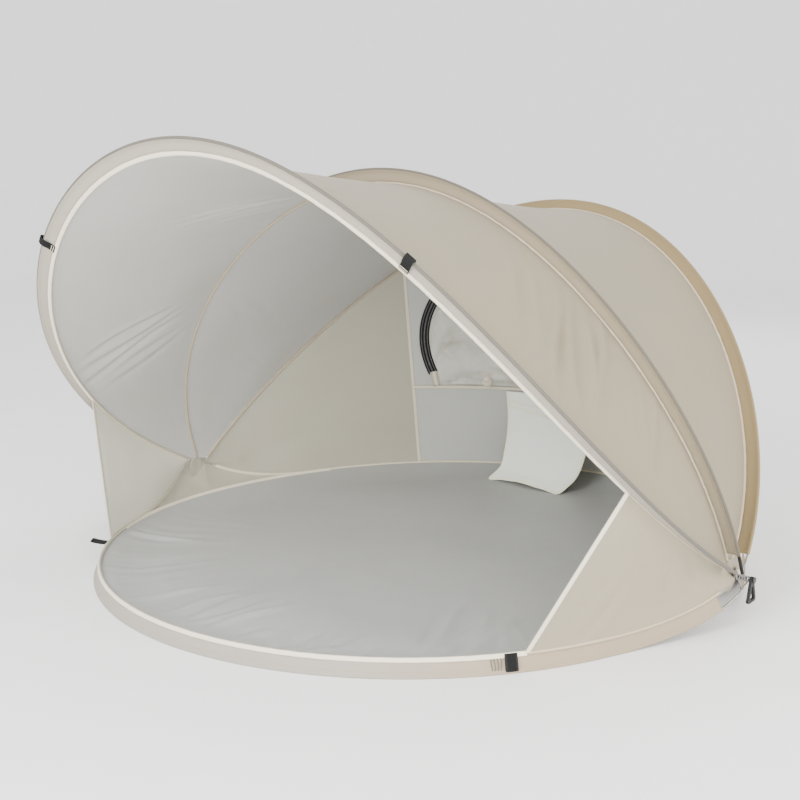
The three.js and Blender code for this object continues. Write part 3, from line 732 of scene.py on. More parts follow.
def wall_surface(share, v):
    """Points of the wall and its inward normals."""
    step = 0.004
    point = mix(wall_foot(share), wall_head(share), v[..., None])
    beside = mix(wall_foot(share + step), wall_head(share + step), v[..., None])
    above = wall_head(share) - wall_foot(share)
    return point, unit(np.cross(above, beside - point))


def wall_weight(v):
    return mix(FOLD_SHARE["floor_rear"], FOLD_SHARE["rear_hoop"], v)


def wall_relief(share, v):
    """The wall's own soft shape, so that what is sewn to it can follow."""
    point, _ = wall_surface(share, v)
    side = np.abs(share - 0.5)
    between = smooth(0.17, 0.2, side) * smooth(0.26, 0.22, side)
    creases = 0.0012 * between * fuzz(side * 20, point[..., 2] / 0.018, 41) * smooth(0.3, 0.5, point[..., 2])
    broad = 0.006 * fuzz(share * 9, v * 2.4, 42)
    billow = 0.020 * np.sin(math.pi * np.clip(v, 0, 1)) * np.sin(math.pi * np.clip(share, 0, 1))
    pleats = 0.0022 * fuzz(share * 55, v * 1.5, 43) * np.exp(-v / 0.18)
    return (creases + broad + pleats) * smooth(0, 0.04, v) * smooth(0, 0.04, 1 - v) + billow * 0.6


def on_wall(share, z, lift):
    share, z = np.broadcast_arrays(np.asarray(share, float), np.asarray(z, float))
    v = wall_rise(share, z)
    point, normal = wall_surface(share, v)
    return point + normal * (lift + wall_relief(share, v))[..., None], normal, v


def wall_tape_share(z):
    """How far the seams beside the window stand from the middle of the wall, as a share of its hoop."""
    return 0.232 - 0.042 * z / 0.784


def rear_wall():
    columns, rows = 420, 84
    share = np.linspace(0.004, 0.996, columns)
    grid_share, v = np.meshgrid(share, np.linspace(0, 1, rows))
    point, normal = wall_surface(grid_share, v)
    points = point + normal * wall_relief(grid_share, v)[..., None]
    window_panel = np.abs(grid_share - 0.5) < wall_tape_share(points[..., 2])
    piece = sheet_piece("rear_wall_cloth", points, -normal, [CANOPY_OUT, WALL_IN, CANOPY_OUT, WALL_GREY],
                        face_material=(window_panel[:-1, :-1] * 2).reshape(-1))
    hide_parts("rear_wall")
    declare(points)
    follow_fan(piece, wall_weight(v))


def wall_tape(name, share, z, width, lift, materials, node, thickness=0.0016, slack=0.0):
    share, z = np.broadcast_arrays(np.asarray(share, float), np.asarray(z, float))
    centres, normals, v = on_wall(share, z, lift)
    centres = centres + normals * (slack * fuzz(np.arange(len(v)) * 0.21, 0, 51))[:, None]
    piece = strip_piece(name, centres, normals, width, thickness, materials)
    if node:
        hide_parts(node)
    follow_by_ring(piece, wall_weight(v))
    return piece


ZIP_START = math.asin((ZIP_END_Z - WINDOW_MIDDLE_Z) / WINDOW_HALF_HEIGHT)


def zip_line(turn):
    return 0.5 - WINDOW_SPAN * np.cos(turn), WINDOW_MIDDLE_Z + WINDOW_HALF_HEIGHT * np.sin(turn)


def window_zip():
    turn = np.linspace(ZIP_START, math.pi - ZIP_START, 260)
    share, z = zip_line(turn)
    wall_tape("zip_tape_strip", share, z, 0.036, 0.0045, [ZIP_TAPE], "window_zip", 0.0014)
    wall_tape("zip_tape_outside", share, z, 0.022, -0.0022, [ZIP_TAPE], None, 0.0012)
    fine = np.linspace(ZIP_START + 0.02, math.pi - ZIP_START - 0.02, 1500)
    share, z = zip_line(fine)
    centres, normals, v = on_wall(share, z, 0.0062)
    tooth = np.where(np.arange(len(fine)) % 3 == 0, 0.62, 1.0)
    piece = strip_piece("zip_coil", centres, normals, 0.0058, 0.0026, [ZIP_COIL], 0.5, tooth)
    follow_by_ring(piece, wall_weight(v))
    share, z = zip_line(turn)
    for label, shift in (("inner", -0.0105), ("outer", 0.0105)):
        centres, normals, v = on_wall(share, z, 0.0056)
        sideways = unit(np.cross(unit(np.gradient(centres, axis=0)), normals))
        centres = centres + sideways * shift
        piece = strip_piece(f"zip_piping_{label}", centres, normals, 0.0030, 0.0014, [ZIP_COIL])
        follow_by_ring(piece, wall_weight(v))


def window_cover():
    """The loose panel inside the zip, which is longer than the hole it fills and so lies in creases."""
    rows, columns = 130, 200
    across = -np.cos(np.linspace(0.02 * math.pi, 0.98 * math.pi, columns))[None]
    height = np.linspace(0, 1, rows)[:, None]
    inner = 0.972
    share = 0.5 + inner * WINDOW_SPAN * across * np.ones_like(height)
    top = WINDOW_MIDDLE_Z + inner * WINDOW_HALF_HEIGHT * np.sqrt(1 - across ** 2)
    z = mix(SILL_Z + 0.008, top, height)
    edge = smooth(0, 0.10, height) * smooth(0, 0.07, 1 - height) * smooth(1.0, 0.86, np.abs(across))
    x = (share - 0.5) * 3.2
    dents = fuzz(x * 4.2 + z * 2, z * 5.5, 61, 2)
    ridges = 1 - np.abs(fuzz(x * 6 - z * 7, z * 5 + x * 3, 62, 1)) * 2.6
    drape = 1 - np.abs(fuzz(x * 11 + z * 2, z * 2.2, 63)) * 2.2
    relief = 0.019 + edge * (0.018 * dents + 0.011 * ridges + 0.006 * drape)
    points, normals, v = on_wall(share, z, 0.0)
    points = points + normals * np.maximum(mix(0.0026, relief, edge), 0.0022)[..., None]
    piece = sheet_piece("window_cover_panel", points, -normals, [CANOPY_OUT, COVER])
    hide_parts("window_cover")
    declare(points)
    follow_fan(piece, wall_weight(v))


def wall_trim():
    for side, name in ((-1, "right"), (1, "left")):
        z = np.linspace(0.041, 0.775, 90)
        share = 0.5 + side * wall_tape_share(z)
        wall_tape(f"wall_seam_binding_{name}", share, z, 0.0125, 0.0022, [BINDING],
                  f"wall_seam_tape_{name}", 0.0020, 0.0004)
        z = np.linspace(SILL_Z + 0.006, ZIP_END_Z + 0.006, 8)
        share = np.full(z.shape, 0.5 + side * WINDOW_SPAN * 0.982)
        wall_tape(f"zip_end_cover_{name}", share, z, 0.026, 0.0075, [BINDING],
                  f"zip_end_tab_{name}", 0.0022)
    share = np.linspace(0.285, 0.715, 140)
    wall_tape("window_sill_binding", share, np.full(share.shape, SILL_Z), 0.0135, 0.0034, [BINDING],
              "window_sill_tape", 0.0022, 0.0005)
    turn = np.linspace(ZIP_START, math.pi - ZIP_START, 200)
    share = 0.5 - WINDOW_SPAN * 1.10 * np.cos(turn)
    height = WINDOW_MIDDLE_Z + WINDOW_HALF_HEIGHT * 1.10 * np.sin(turn)
    wall_tape("window_rain_flap", share, height, 0.034, -0.0060, [CANOPY_OUT], None, 0.0014, 0.0012)


def window_toggle():
    """A cord-lock style knob on a short gathered tie at the foot of the window."""
    base, normal, v = on_wall(np.array([0.62]), np.array([SILL_Z + 0.030]), 0.034)
    base, normal = base[0], normal[0]
    outline = [(0.0, 0.002), (0.010, 0.0), (0.016, 0.003), (0.0185, 0.009), (0.018, 0.017), (0.014, 0.023),
               (0.0085, 0.027), (0.0078, 0.031), (0.0085, 0.035), (0.014, 0.0385), (0.0185, 0.040),
               (0.0195, 0.042), (0.0185, 0.0445), (0.012, 0.0455), (0.0, 0.046)]
    outline = [(r * 1.05, h * 1.1 - 0.009) for r, h in outline]
    turns = np.linspace(0, 2 * math.pi, 33)[:-1]
    across = unit(np.cross(np.array([0, 0, 1.0]), normal))
    rings = np.array([[base + across * (r * math.cos(a)) + normal * (r * 0.5 * math.sin(a))
                       + np.array([0, 0, h]) for a in turns] for r, h in outline[1:-1]])
    cloth = np.zeros(rings.shape)
    knob = loft_piece("window_toggle_knob", rings, cloth, [TOGGLE])
    knob.modifiers.new("round", "SUBSURF").levels = 1
    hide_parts("window_toggle")
    follow_fan(knob, np.full(len(knob.data.vertices), wall_weight(v)[0]))
    t = np.linspace(0, 1, 40)
    share = mix(0.626, 0.665, t)
    z = SILL_Z + 0.022 + 0.010 * np.sin(math.pi * t)
    centres, normals, rise = on_wall(share, z, 0.0)
    hump = 0.008 + 0.014 * np.sin(math.pi * t) ** 0.7
    centres = centres + normals * hump[:, None]
    wide = 0.55 + 0.45 * np.sin(math.pi * t) + 0.12 * fuzz(t * 9, 0, 71)
    tie = strip_piece("window_tie", centres, normals, 0.030, 0.010, [COVER], 0.9, wide)
    tie.modifiers.new("round", "SUBSURF").levels = 1
    follow_by_ring(tie, wall_weight(rise))


def catmull(points, t):
    """Points on a smooth curve through the given ones."""
    points = np.asarray(points, float)
    padded = np.concatenate([[2 * points[0] - points[1]], points, [2 * points[-1] - points[-2]]])
    place = np.clip(np.asarray(t, float), 0, 1) * (len(points) - 1)
    k = np.minimum(place.astype(int), len(points) - 2)
    f = (place - k)[:, None]
    a, b, c, d = padded[k], padded[k + 1], padded[k + 2], padded[k + 3]
    square = (2 * a - 5 * b + 4 * c - d) * f ** 2
    cube = (3 * b - a - 3 * c + d) * f ** 3
    return 0.5 * (2 * b + (c - a) * f + square + cube)


def wall_flap():
    """A light panel sewn under the sill: it hangs down, and its end lies out over the floor."""
    rows, columns = 96, 72
    top, _, _ = on_wall(np.array([0.597, 0.484]), np.array([SILL_Z - 0.009] * 2), 0.0065)
    left = [top[0], (-0.264, 0.850, 0.219), (-0.276, 0.842, 0.100), (-0.290, 0.826, 0.042),
            (-0.313, 0.796, 0.012)]
    right = [top[1], (0.047, 0.875, 0.200), (0.043, 0.835, 0.100), (0.025, 0.796, 0.042),
             (0.001, 0.752, 0.012)]
    drop = np.linspace(0, 1, rows)
    left_edge = catmull(left, drop)
    right_edge = catmull(right, drop)
    u = np.linspace(0, 1, columns)[None, :, None]
    points = mix(left_edge[:, None], right_edge[:, None], u)
    d = drop[:, None]
    across = np.linspace(0, 1, columns)[None]
    bow = 0.016 * np.sin(math.pi * across) * smooth(0.1, 0.9, d)
    ripple = 0.005 * fuzz(across * 3.2 + d, d * 2.5, 81, 1) * smooth(0, 0.25, d)
    points[..., 1] += -bow * smooth(1, 0.6, d) + ripple
    points[..., 2] += 0.006 * fuzz(across * 4, d * 5, 82) * smooth(0.1, 0.4, d)
    points[..., 2] += bow * smooth(0.6, 1, d) * 0.6
    points[..., 2] = np.maximum(points[..., 2], 0.010)
    v = np.clip(wall_rise(np.full(rows, 0.54), points[:, columns // 2, 2]), 0, 1)
    hang = wall_weight(v)[:, None] * np.ones((rows, columns))
    piece = sheet_piece("wall_flap_panel", points, grid_normals(points), [FLAP])
    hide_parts("wall_flap")
    declare(points)
    follow_fan(piece, hang)
    normals = grid_normals(points)
    edges = {
        "left": (points[:, 0], normals[:, 0], hang[:, 0]),
        "right": (points[:, -1], normals[:, -1], hang[:, -1]),
        "foot": (points[-1], normals[-1], hang[-1]),
    }
    for label, (line, normal, weight) in edges.items():
        trim = strip_piece(f"wall_flap_hem_{label}", line, normal, 0.013, 0.0024, [FLAP_BINDING])
        follow_by_ring(trim, weight)
    for label, low in (("upper", 0.115), ("lower", 0.165)):
        slope = np.linspace(low * 0.75, low * 1.35, columns)
        rows_at = np.clip(slope * (rows - 1), 0, rows - 1).astype(int)
        line = points[rows_at, np.arange(columns)] + np.array([0, -0.0022, 0])
        keep = np.linspace(0, 1, columns)
        line = catmull(line[::6], keep)
        normal = np.repeat(np.array([[0, -1.0, 0]]), columns, axis=0)
        weight = np.interp(keep, np.linspace(0, 1, columns), hang[rows_at, np.arange(columns)])
        trim = strip_piece(f"wall_flap_fold_{label}", line, normal, 0.010, 0.0022, [FLAP_BINDING])
        follow_by_ring(trim, weight)


# ---------------------------------------------------------------- side gussets

def floor_fold_share(y):
    """The floor creases across the hub line: how far a place on it turns with the floor's rear arch."""
    return smooth(HUB[1] - 0.16, HUB[1] + 0.16, y)


def floor_rim(side, turn):
    """The floor's edge beside a hub. Turn runs from the front, through 0 beside the hub, to the rear."""
    flat = floor_edge(np.where(turn < 0, 2 * math.pi + turn, turn))
    return np.stack([side * flat[:, 0], flat[:, 1], np.full(turn.shape, FLOOR_RIM_Z)], axis=-1)


def ramp_seam(side, reach):
    """The seam inside the sleeves of both floor arches as they climb to the hub: front at -1, rear at 1."""
    ramp, gap = 0.47, 0.012
    points = np.empty((len(reach), 3))
    for sign, name in ((-1, "floor_front"), (1, "floor_rear")):
        arch = ARCHES[name]
        mine = (reach < 0) if sign < 0 else (reach >= 0)
        distance = mix(gap, ramp, np.abs(reach[mine]))
        share = distance / arch.length
        share = share if side > 0 else 1 - share
        points[mine] = arch.off(share, SEAM_OFFSET - 0.003, -sign * 0.001)
    return points


def side_gusset(side, name):
    """The triangle of cloth below a hub, from the floor's rim up to the sleeves of both floor arches."""
    columns, rows = 90, 26
    reach = np.linspace(-1, 1, columns)
    rim = floor_rim(side, reach * 0.45)
    top = ramp_seam(side, reach)
    v = np.linspace(0, 1, rows)[:, None]
    points = mix(rim[None], top[None], v[..., None])
    normal = grid_normals(points)
    outward = normal * np.sign(normal[..., :1] * side)
    height = np.linalg.norm(top - rim, axis=-1)[None]
    slack = 0.10 * height * np.sin(math.pi * v)
    crease = 0.0022 * fuzz(reach * 9, v * 1.4, 131 + side) * np.sin(math.pi * v) * smooth(0, 0.04, height)
    points = points + outward * (slack + crease)[..., None]
    piece = sheet_piece(f"side_gusset_cloth_{name}", points, outward, [WING_OUT, WALL_IN])
    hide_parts(f"side_gusset_{name}")
    declare(points)
    below = floor_fold_share(points[..., 1])
    above = smooth(-0.08, 0.08, reach)[None]
    follow_fan(piece, mix(below, above * np.ones_like(below), v))
    turn = np.linspace(-0.50, 0.50, 120)
    line = floor_rim(side, turn) + np.array([0, 0, 0.001])
    lean = np.repeat(np.array([[-side * 0.75, 0, 0.66]]), len(turn), axis=0)
    trim = strip_piece(f"floor_rim_binding_{name}", line, lean, 0.0135, 0.0065, [BINDING], rounding=0.5)
    follow_by_ring(trim, floor_fold_share(line[:, 1]))


def hub_patch(side, name):
    """A round patch that joins the cloths where their corners meet, just inside the hub pin."""
    size, from_middle = 0.043, 0.967
    around, rings = 48, 8
    turn = np.linspace(0, 2 * math.pi, around + 1)[:-1]
    uneven = 1 + 0.03 * fuzz(np.cos(turn) * 2, np.sin(turn) * 2, 141 + side)
    radius = np.linspace(0.004, size, rings)[:, None] * uneven
    dish = 0.002 * fuzz(radius * 60 * np.cos(turn), radius * 60 * np.sin(turn), 143) - 0.06 * radius
    y = HUB[1] + radius * np.cos(turn)
    z = HUB[2] + radius * np.sin(turn)
    points = np.stack([side * (from_middle + dish), y, z], axis=-1)
    faces = [list(f) for f in grid_faces(rings, around, wrap=True)] + [list(range(around))[::-1]]
    if side > 0:
        faces = [f[::-1] for f in faces]
    cloth = np.stack([points[..., 1], points[..., 2], np.zeros(points.shape[:2])], axis=-1)
    piece = mesh_object(f"hub_patch_{name}", points, faces, cloth, [WING_OUT, WALL_IN])
    solid = piece.modifiers.new("thickness", "SOLIDIFY")
    solid.thickness = CLOTH_THICKNESS
    solid.offset = 0
    solid.material_offset = 1
    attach(piece, "mid_arch")


# ---------------------------------------------------------------- wings

WING_FLOOR_SHARE = float(floor_share_at(ARCHES["floor_front"], WING_FLOOR_X))


def wing_ends(side, along):
    floor = mix(0.010, WING_FLOOR_SHARE, along)
    hoop = mix(0.0125, WING_HOOP_SHARE, along)
    if side < 0:
        floor, hoop = 1 - floor, 1 - hoop
    return ARCHES["floor_front"].seam(floor, 0), ARCHES["front_hoop"].seam(hoop, 1)


# Folds in the right wing: metres from the hub towards the entrance and up from the middle of its foot.
WING_FOLDS = (
    ((0.16, 0.02), (0.26, 0.20), 2, 0.060, 0.0070),
    ((0.46, 0.02), (0.40, 0.16), 2, 0.050, 0.0040),
)


def wing(side, name):
    """The side panel from the floor seam up to the front hoop, pulled tight along its front edge."""
    rows, columns = 70, 80
    along = np.linspace(0, 1, columns)
    foot, head = wing_ends(side, along)
    v = np.linspace(0, 1, rows)[:, None]
    points = mix(foot[None], head[None], v[..., None])
    flat = cloth_coordinates(points)
    s, t = flat[..., 0], flat[..., 1]
    normal = grid_normals(points)
    inward = normal * np.sign((normal * np.array([-side, 0, 0])).sum(-1, keepdims=True))
    a = along[None]
    folds = 0.0016 * fuzz(s / 0.16 + t * 2.2, t * 2.6, 91 + side, 1) * smooth(0, 0.4, 1 - a)
    for group in WING_FOLDS if side > 0 else ():
        folds = folds + fold_group(s, t, *group, 97 + side)
    cup = 0.022 * np.sin(math.pi * v) * np.sin(math.pi * np.clip(a, 0, 1)) ** 0.8
    edge = smooth(0, 0.08, v) * smooth(0, 0.08, 1 - v)
    points = points + inward * ((folds * edge + cup) * smooth(0, 0.05, 1 - a))[..., None]
    # The wing's inside face takes the painted-light copy of the coating.
    piece = sheet_piece(f"wing_cloth_{name}", points, -inward, [WING_OUT, WING_IN_LIT])
    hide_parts(f"wing_{name}")
    declare(points)
    weight = mix(0.0, FOLD_SHARE["front_hoop"], v) * np.ones_like(s)
    follow_fan(piece, weight)
    line = points[:, -1]
    trim = strip_piece(f"wing_edge_binding_{name}", line, normal[:, -1], 0.0125, 0.0030, [BINDING])
    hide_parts(f"wing_tape_{name}")
    follow_by_ring(trim, weight[:, -1])


# ---------------------------------------------------------------- floor

def floor_edge(turn):
    """The floor seam at a turn round the ring, a little in from the wire and above the ground."""
    lean = 0.0145
    depth = np.where(np.sin(turn) >= 0, FLOOR_REAR_Y, -FLOOR_FRONT_Y)
    reach = np.where(np.sin(turn) >= 0, depth - FLOOR_WIDEST_Y, depth + FLOOR_WIDEST_Y) - lean
    x = (FLOOR_HALF_WIDTH - lean) * np.cos(turn)
    return np.stack([x, FLOOR_WIDEST_Y + reach * np.sin(turn)], axis=-1)


# Folds pulled in from the floor's front edge: metres to the right and towards the back.
FLOOR_FOLDS = (
    ((-0.29, -0.93), (-0.255, -0.67), 1, 0.050, 0.0120),
    ((-0.01, -0.93), (0.01, -0.66), 4, 0.052, 0.0110),
    ((0.33, -0.92), (0.31, -0.78), 4, 0.068, 0.0090),
    ((0.60, -0.66), (0.53, -0.36), 3, 0.062, 0.0100),
    ((-0.80, -0.56), (-0.58, -0.38), 1, 0.060, 0.0090),
)


def floor_sheet():
    """One groundsheet: flat in the middle, turned up to the seam all round, with folds drawn in from it."""
    around = 720
    out = np.concatenate([np.linspace(0.015, 0.9, 62), np.linspace(0.91, 1.0, 22)])
    turn = np.linspace(0, 2 * math.pi, around + 1)[:-1]
    edge = floor_edge(turn)
    centre = np.array([0.0, FLOOR_WIDEST_Y])
    flat = centre + (edge - centre)[None] * out[:, None, None]
    inset = np.linalg.norm((edge - centre)[None] * (1 - out)[:, None, None], axis=-1)
    rim = (FLOOR_RIM_Z - 0.0065) * np.clip(1 - inset / 0.15, 0, 1) ** 2
    arc = turn[None] * 0.95
    lean = 0.35 * np.sin(turn * 2)[None]
    draw = fuzz((arc + lean * inset) / 0.062, inset * 1.5, 101)
    sides = 0.35 + 0.65 * smooth(-0.15, 0.35, fuzz(np.cos(turn)[None] * 1.9, np.sin(turn)[None] * 1.9, 102))
    front = smooth(0.15, -0.55, np.sin(turn))[None]
    reach = np.exp(-((inset - 0.07) / 0.20) ** 2)
    folds = (0.0042 * front + 0.0016) * sides * (1 - 1.9 * np.abs(draw)) * reach
    broad = 0.0022 * fuzz(flat[..., 0] * 3.2, flat[..., 1] * 3.2, 103)
    fine = 0.0008 * fuzz(flat[..., 0] * 14, flat[..., 1] * 14, 104)
    for group in FLOOR_FOLDS:
        folds = folds + fold_group(flat[..., 0], flat[..., 1], *group, 107)
    height = 0.0065 + rim + (folds + broad + fine) * smooth(0, 0.04, inset)
    points = np.concatenate([flat, np.maximum(height, 0.0016)[..., None]], axis=-1)
    rows = len(out)
    faces = [list(f)[::-1] for f in grid_faces(rows, around, wrap=True)]
    hub_index = rows * around
    faces += [[hub_index, k, (k + 1) % around] for k in range(around)]
    middle = np.array([[centre[0], centre[1], 0.0070]])
    vertices = np.concatenate([points.reshape(-1, 3), middle])
    cloth = vertices * np.array([1, 1, 0])
    piece = mesh_object("floor_sheet", vertices, faces, cloth, [FLOOR_TOP, FLOOR_UNDER])
    solid = piece.modifiers.new("thickness", "SOLIDIFY")
    solid.thickness = 0.0010
    solid.offset = 0
    solid.material_offset = 1
    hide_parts("floor_front_panel", "floor_rear_panel")
    follow_fan(piece, floor_fold_share(vertices[:, 1]))


# ---------------------------------------------------------------- loops, slider and hubs

def webbing_path(name, points, normal, width, node, body, thickness=0.0016, taper=None):
    centres = catmull(points, np.linspace(0, 1, 70))
    along = unit(np.gradient(centres, axis=0))
    side = unit(np.cross(along, np.broadcast_to(normal, centres.shape)))
    normals = np.cross(side, along)
    piece = strip_piece(name, centres, normals, width, thickness, [WEBBING], 0.5, taper)
    if node:
        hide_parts(node)
    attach(piece, body)
    return piece


def guy_loops():
    """Webbing folded over the fin of the front sleeve, with a short eye outside the wire."""
    for side, name in ((1, "right"), (-1, "left")):
        share = GUY_LOOP_SHARE if side > 0 else 1 - GUY_LOOP_SHARE
        point, along, across, out = (x[0] for x in ARCHES["front_hoop"].frame(np.array([share])))
        section = [(0.036, 0.0040), (0.020, 0.0034), (0.006, 0.0062), (-0.004, 0.0066), (-0.010, 0.0040),
                   (-0.0135, 0.0008), (-0.0125, -0.0030), (-0.0050, -0.0066), (0.006, -0.0062),
                   (0.020, -0.0034), (0.036, -0.0040)]
        path = [point + across * a + out * o for a, o in section]
        webbing_path(f"guy_loop_strap_{name}", path, out_normal(path, along), 0.025, f"guy_loop_{name}",
                     "front_arch")
        for label, shift in (("a", 0.0), ("b", 0.006)):
            middle = point + across * (0.026 + shift) + out * 0.0052
            line = np.array([middle + along * w for w in np.linspace(-0.011, 0.011, 5)])
            stitch = strip_piece(f"guy_loop_stitch_{name}_{label}", line, np.repeat(out[None], 5, axis=0),
                                 0.0014, 0.0008, [BINDING])
            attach(stitch, "front_arch")


def out_normal(path, along):
    """A vector square to the strap's width, which runs along the hoop."""
    centres = catmull(path, np.linspace(0, 1, 70))
    forward = unit(np.gradient(centres, axis=0))
    return np.cross(forward, np.broadcast_to(along, forward.shape))


def peg_loops():
    """Doubled webbing below the foot of each wing: it hangs on the right and sticks out on the left."""
    for side, name in ((1, "right"), (-1, "left")):
        from_hub = WING_FLOOR_SHARE + 0.013
        share = from_hub if side > 0 else 1 - from_hub
        point, along, across, out = (x[0] for x in ARCHES["floor_front"].frame(np.array([share])))
        root = point + across * 0.0385 - out * 0.005
        lift = math.radians(0 if side > 0 else 75)
        down = -across * math.cos(lift) - out * math.sin(lift)
        face = np.cross(along, down)
        curl = 0.0 if side > 0 else 0.006
        length = 0.037 if side > 0 else 0.044
        reach = [(-0.004, 0.0), (length * 0.3, 0.0013), (length * 0.7, 0.0014), (length * 0.93, 0.0016),
                 (length, 0.0), (length * 0.93, -0.0016), (length * 0.7, -0.0014), (length * 0.3, -0.0013),
                 (-0.004, -0.0004)]
        path = [root + down * r + face * f + np.array([0, 0, curl * (r / length) ** 2]) for r, f in reach]
        t = np.linspace(0, 1, 70)
        taper = 1 - 0.16 * np.exp(-((t - 0.5) / 0.07) ** 2)
        webbing_path(f"peg_loop_strap_{name}", path, out_normal(path, along), 0.031, f"peg_loop_{name}",
                     f"peg_loop_{name}", 0.0015, taper)
        if side > 0:
            sleeve_pleats(share)


def sleeve_pleats(share):
    """A few short upright pleats in the floor sleeve beside the right peg loop."""
    arch = ARCHES["floor_front"]
    for k in range(4):
        at = np.array([share + (0.0235 + 0.0075 * k) / arch.length])
        point, along, across, out = (x[0] for x in arch.frame(at))
        reach = np.linspace(0.006, 0.037, 14)
        swell = 0.0012 + 0.0009 * np.sin(reach / 0.037 * math.pi)
        line = point + across * reach[:, None] - out * swell[:, None]
        line = line + along * (0.0010 * np.sin(reach * 190 + k))[:, None]
        pleat = strip_piece(f"sleeve_pleat_{k}", line, np.repeat(-out[None], 14, axis=0), 0.0034, 0.0026,
                            [SLEEVE_CREAM], 0.9)
        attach(pleat, "ground_frame")


def bevelled_block(name, outline, depth, place, materials, bevel):
    """An outline pushed through to a depth, with rounded edges. place maps (x, y, z) to the tent."""
    count = len(outline)
    points = [place(x, y, z) for z in (-depth / 2, depth / 2) for x, y in outline]
    faces = [list(range(count))[::-1], [count + k for k in range(count)]]
    faces += [[k, (k + 1) % count, count + (k + 1) % count, count + k] for k in range(count)]
    piece = mesh_object(name, np.array(points), faces, np.zeros((2 * count, 3)), materials, smooth_faces=True)
    round_edges = piece.modifiers.new("bevel", "BEVEL")
    round_edges.width = bevel
    round_edges.segments = 3
    round_edges.limit_method = "ANGLE"
    return piece


def zip_slider():
    """A cast slider body with a bridge, and its pull tab hanging below."""
    share, z = zip_line(ZIP_START + 0.03)
    at, normal, _ = on_wall(np.array([share]), np.array([z]), 0.0125)
    at, normal = at[0], normal[0]
    up = unit(np.array([0, 0, 1.0]) - normal * normal[2])
    right = np.cross(up, normal)

    def place(x, y, z_out):
        return at + right * x + up * y + normal * z_out

    def bridge_place(x, y, z_out):
        return place(x, y, z_out + 0.0042)

    def tab_place(x, y, z_out):
        return place(x, y - 0.004, z_out + 0.0050)

    heart = [(-0.0062, 0.010), (-0.0068, 0.003), (-0.0048, -0.010), (0.0048, -0.010), (0.0068, 0.003),
             (0.0062, 0.010), (0.0022, 0.0075), (0, 0.0085), (-0.0022, 0.0075)]
    bar = [(-0.0016, 0.007), (-0.0016, -0.007), (0.0016, -0.007), (0.0016, 0.007)]
    tab = [(-0.0026, 0.004), (-0.0040, -0.010), (-0.0042, -0.030), (-0.0028, -0.034), (0.0028, -0.034),
           (0.0042, -0.030), (0.0040, -0.010), (0.0026, 0.004)]
    body = bevelled_block("zip_slider_body", heart, 0.0058, place, [SLIDER_PAINT], 0.0009)
    bridge = bevelled_block("zip_slider_bridge", bar, 0.0030, bridge_place, [SLIDER_PAINT], 0.0008)
    pull = bevelled_block("zip_slider_pull", tab, 0.0018, tab_place, [SLIDER_PAINT], 0.0005)
    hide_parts("zip_slider")
    for piece in (body, bridge, pull):
        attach(piece, "zip_slider")


def hub_details():
    """Bare steel and black parts keep their shapes and get real surfaces."""
    for name, piece in cad.items():
        material = None
        if name.endswith("_wire"):
            material = WIRE
        elif name.startswith("hub_pin"):
            material = PIN
        elif name.startswith(("hub_loop", "mid_hoop_end_tube")):
            material = PLASTIC
        if material is None:
            continue
        piece.data.materials.clear()
        piece.data.materials.append(material)
        smooth_faces = name.endswith("_wire")
        piece.data.polygons.foreach_set("use_smooth", [smooth_faces] * len(piece.data.polygons))
        if not smooth_faces:
            round_edges = piece.modifiers.new("bevel", "BEVEL")
            round_edges.width = 0.0009
            round_edges.segments = 2
            round_edges.limit_method = "ANGLE"


# ---------------------------------------------------------------- put together

def build_tent():
    sleeve("floor_front", SLEEVE_FLOOR, FLOOR_SLEEVE_END)
    # The rear floor arch and rear hoop sleeves take the painted-shade copy of the sleeve cloth.
    sleeve("floor_rear", SLEEVE_SHADED, FLOOR_SLEEVE_END)
    sleeve("rear_hoop", SLEEVE_SHADED, HOOP_SLEEVE_END)
    sleeve("mid_hoop", SLEEVE_CREAM, HOOP_SLEEVE_END)
    sleeve("front_hoop", SLEEVE_FRONT, HOOP_SLEEVE_END)
    wing_hoop = WING_HOOP_SHARE * ARCHES["front_hoop"].length
    wing_floor = WING_FLOOR_SHARE * ARCHES["floor_front"].length
    binding("rear_hoop", BINDING_PEACH)
    binding("mid_hoop", BINDING_PEACH, width=0.0115)
    binding("front_hoop", BINDING, reach=(wing_hoop, 0.045))
    binding("floor_rear", BINDING, reach=(0.075, 0.075))
    binding("floor_front", BINDING, reach=(wing_floor, 0.075))
    wing_seam("front_hoop", 0.060, wing_hoop)
    wing_seam("floor_front", 0.095, wing_floor)
    gore("canopy_front", "front_gore", "mid_hoop", 1, "front_hoop", -1, 11, 0.0016, FRONT_FOLDS)
    gore("canopy_rear", "rear_gore", "rear_hoop", 1, "mid_hoop", -1, 23, 0.0018, REAR_FOLDS)
    rear_wall()
    window_zip()
    window_cover()
    wall_trim()
    window_toggle()
    wall_flap()
    for side, name in ((1, "right"), (-1, "left")):
        wing(side, name)
        side_gusset(side, name)
        hub_patch(side, name)
    floor_sheet()
    guy_loops()
    peg_loops()
    zip_slider()
    hub_details()


def area_light(name, place, target, size, power, color=(1, 1, 1)):
    data = bpy.data.lights.new(name, "AREA")
    data.shape = "DISK"
    data.size = size
    data.energy = power
    data.color = color
    light = bpy.data.objects.new(name, data)
    light.location = place
    light.rotation_euler = (Vector(target) - Vector(place)).to_track_quat("-Z", "Y").to_euler()
    bpy.context.scene.collection.objects.link(light)


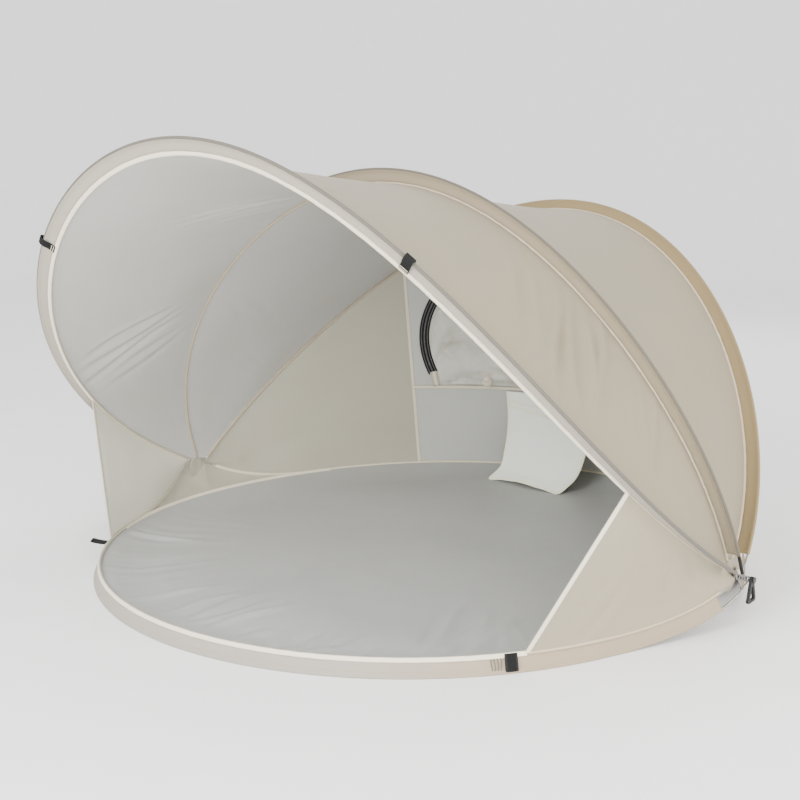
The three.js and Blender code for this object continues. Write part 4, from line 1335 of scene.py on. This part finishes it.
def studio():
    """A pale studio floor that sweeps up into a low wall all round, and soft light."""
    flat_radius, sweep_radius, wall_height = 9.0, 2.5, 5.0
    sweep = np.linspace(0, math.pi / 2, 12)
    profile = [(flat_radius + sweep_radius * math.sin(a), sweep_radius * (1 - math.cos(a))) for a in sweep]
    wall_top = (flat_radius + sweep_radius, wall_height)
    profile = np.array([(0.5, 0.0), (3.0, 0.0), (6.0, 0.0), *profile, wall_top])
    around = np.linspace(0, 2 * math.pi, 97)[:-1]
    rings = np.stack([profile[:, :1] * np.cos(around), profile[:, :1] * np.sin(around),
                      profile[:, 1:] * np.ones(around.shape)], axis=-1)
    faces = [list(f)[::-1] for f in grid_faces(len(profile), len(around), wrap=True)]
    faces.append(list(range(len(around))))
    n = Nodes("studio_floor")
    speckle = n.noise(n.place(), 6, 2)
    color = n.ramp(speckle, [(0.3, (0.86, 0.86, 0.86)), (0.7, (0.88, 0.88, 0.88))])
    material = n.finish(color, 0.9, specular=0.1)
    ground = mesh_object("studio_ground", rings, faces, np.zeros(rings.shape), [material])
    world = bpy.data.worlds.new("studio_world")
    world.use_nodes = True
    world.node_tree.nodes["Background"].inputs["Color"].default_value = (1.0, 1.0, 1.0, 1)
    world.node_tree.nodes["Background"].inputs["Strength"].default_value = 1.75
    bpy.context.scene.world = world
    middle = (0, 0, 0.4)
    area_light("front_low", (3.3, -3.3, 1.0), middle, 2.4, 190)
    area_light("front_high", (0.2, -4.4, 2.9), (0, 0.5, 0.3), 2.2, 290)
    area_light("key", (4.4, 0.3, 1.3), middle, 1.6, 120, (1.0, 0.99, 0.97))
    area_light("back", (-1.5, 4.8, 3.6), middle, 3.5, 75)


def camera():
    data = bpy.data.cameras.new("camera")
    data.sensor_width = 36
    data.lens = 55.3
    data.clip_end = 100
    data.dof.use_dof = False
    eye = bpy.data.objects.new("camera", data)
    eye.location = (2.1196, -2.8992, 1.1163)
    eye.rotation_euler = (math.radians(90 - 10.45), 0, math.radians(37.65))
    bpy.context.scene.collection.objects.link(eye)
    bpy.context.scene.camera = eye


build_tent()
studio()
camera()
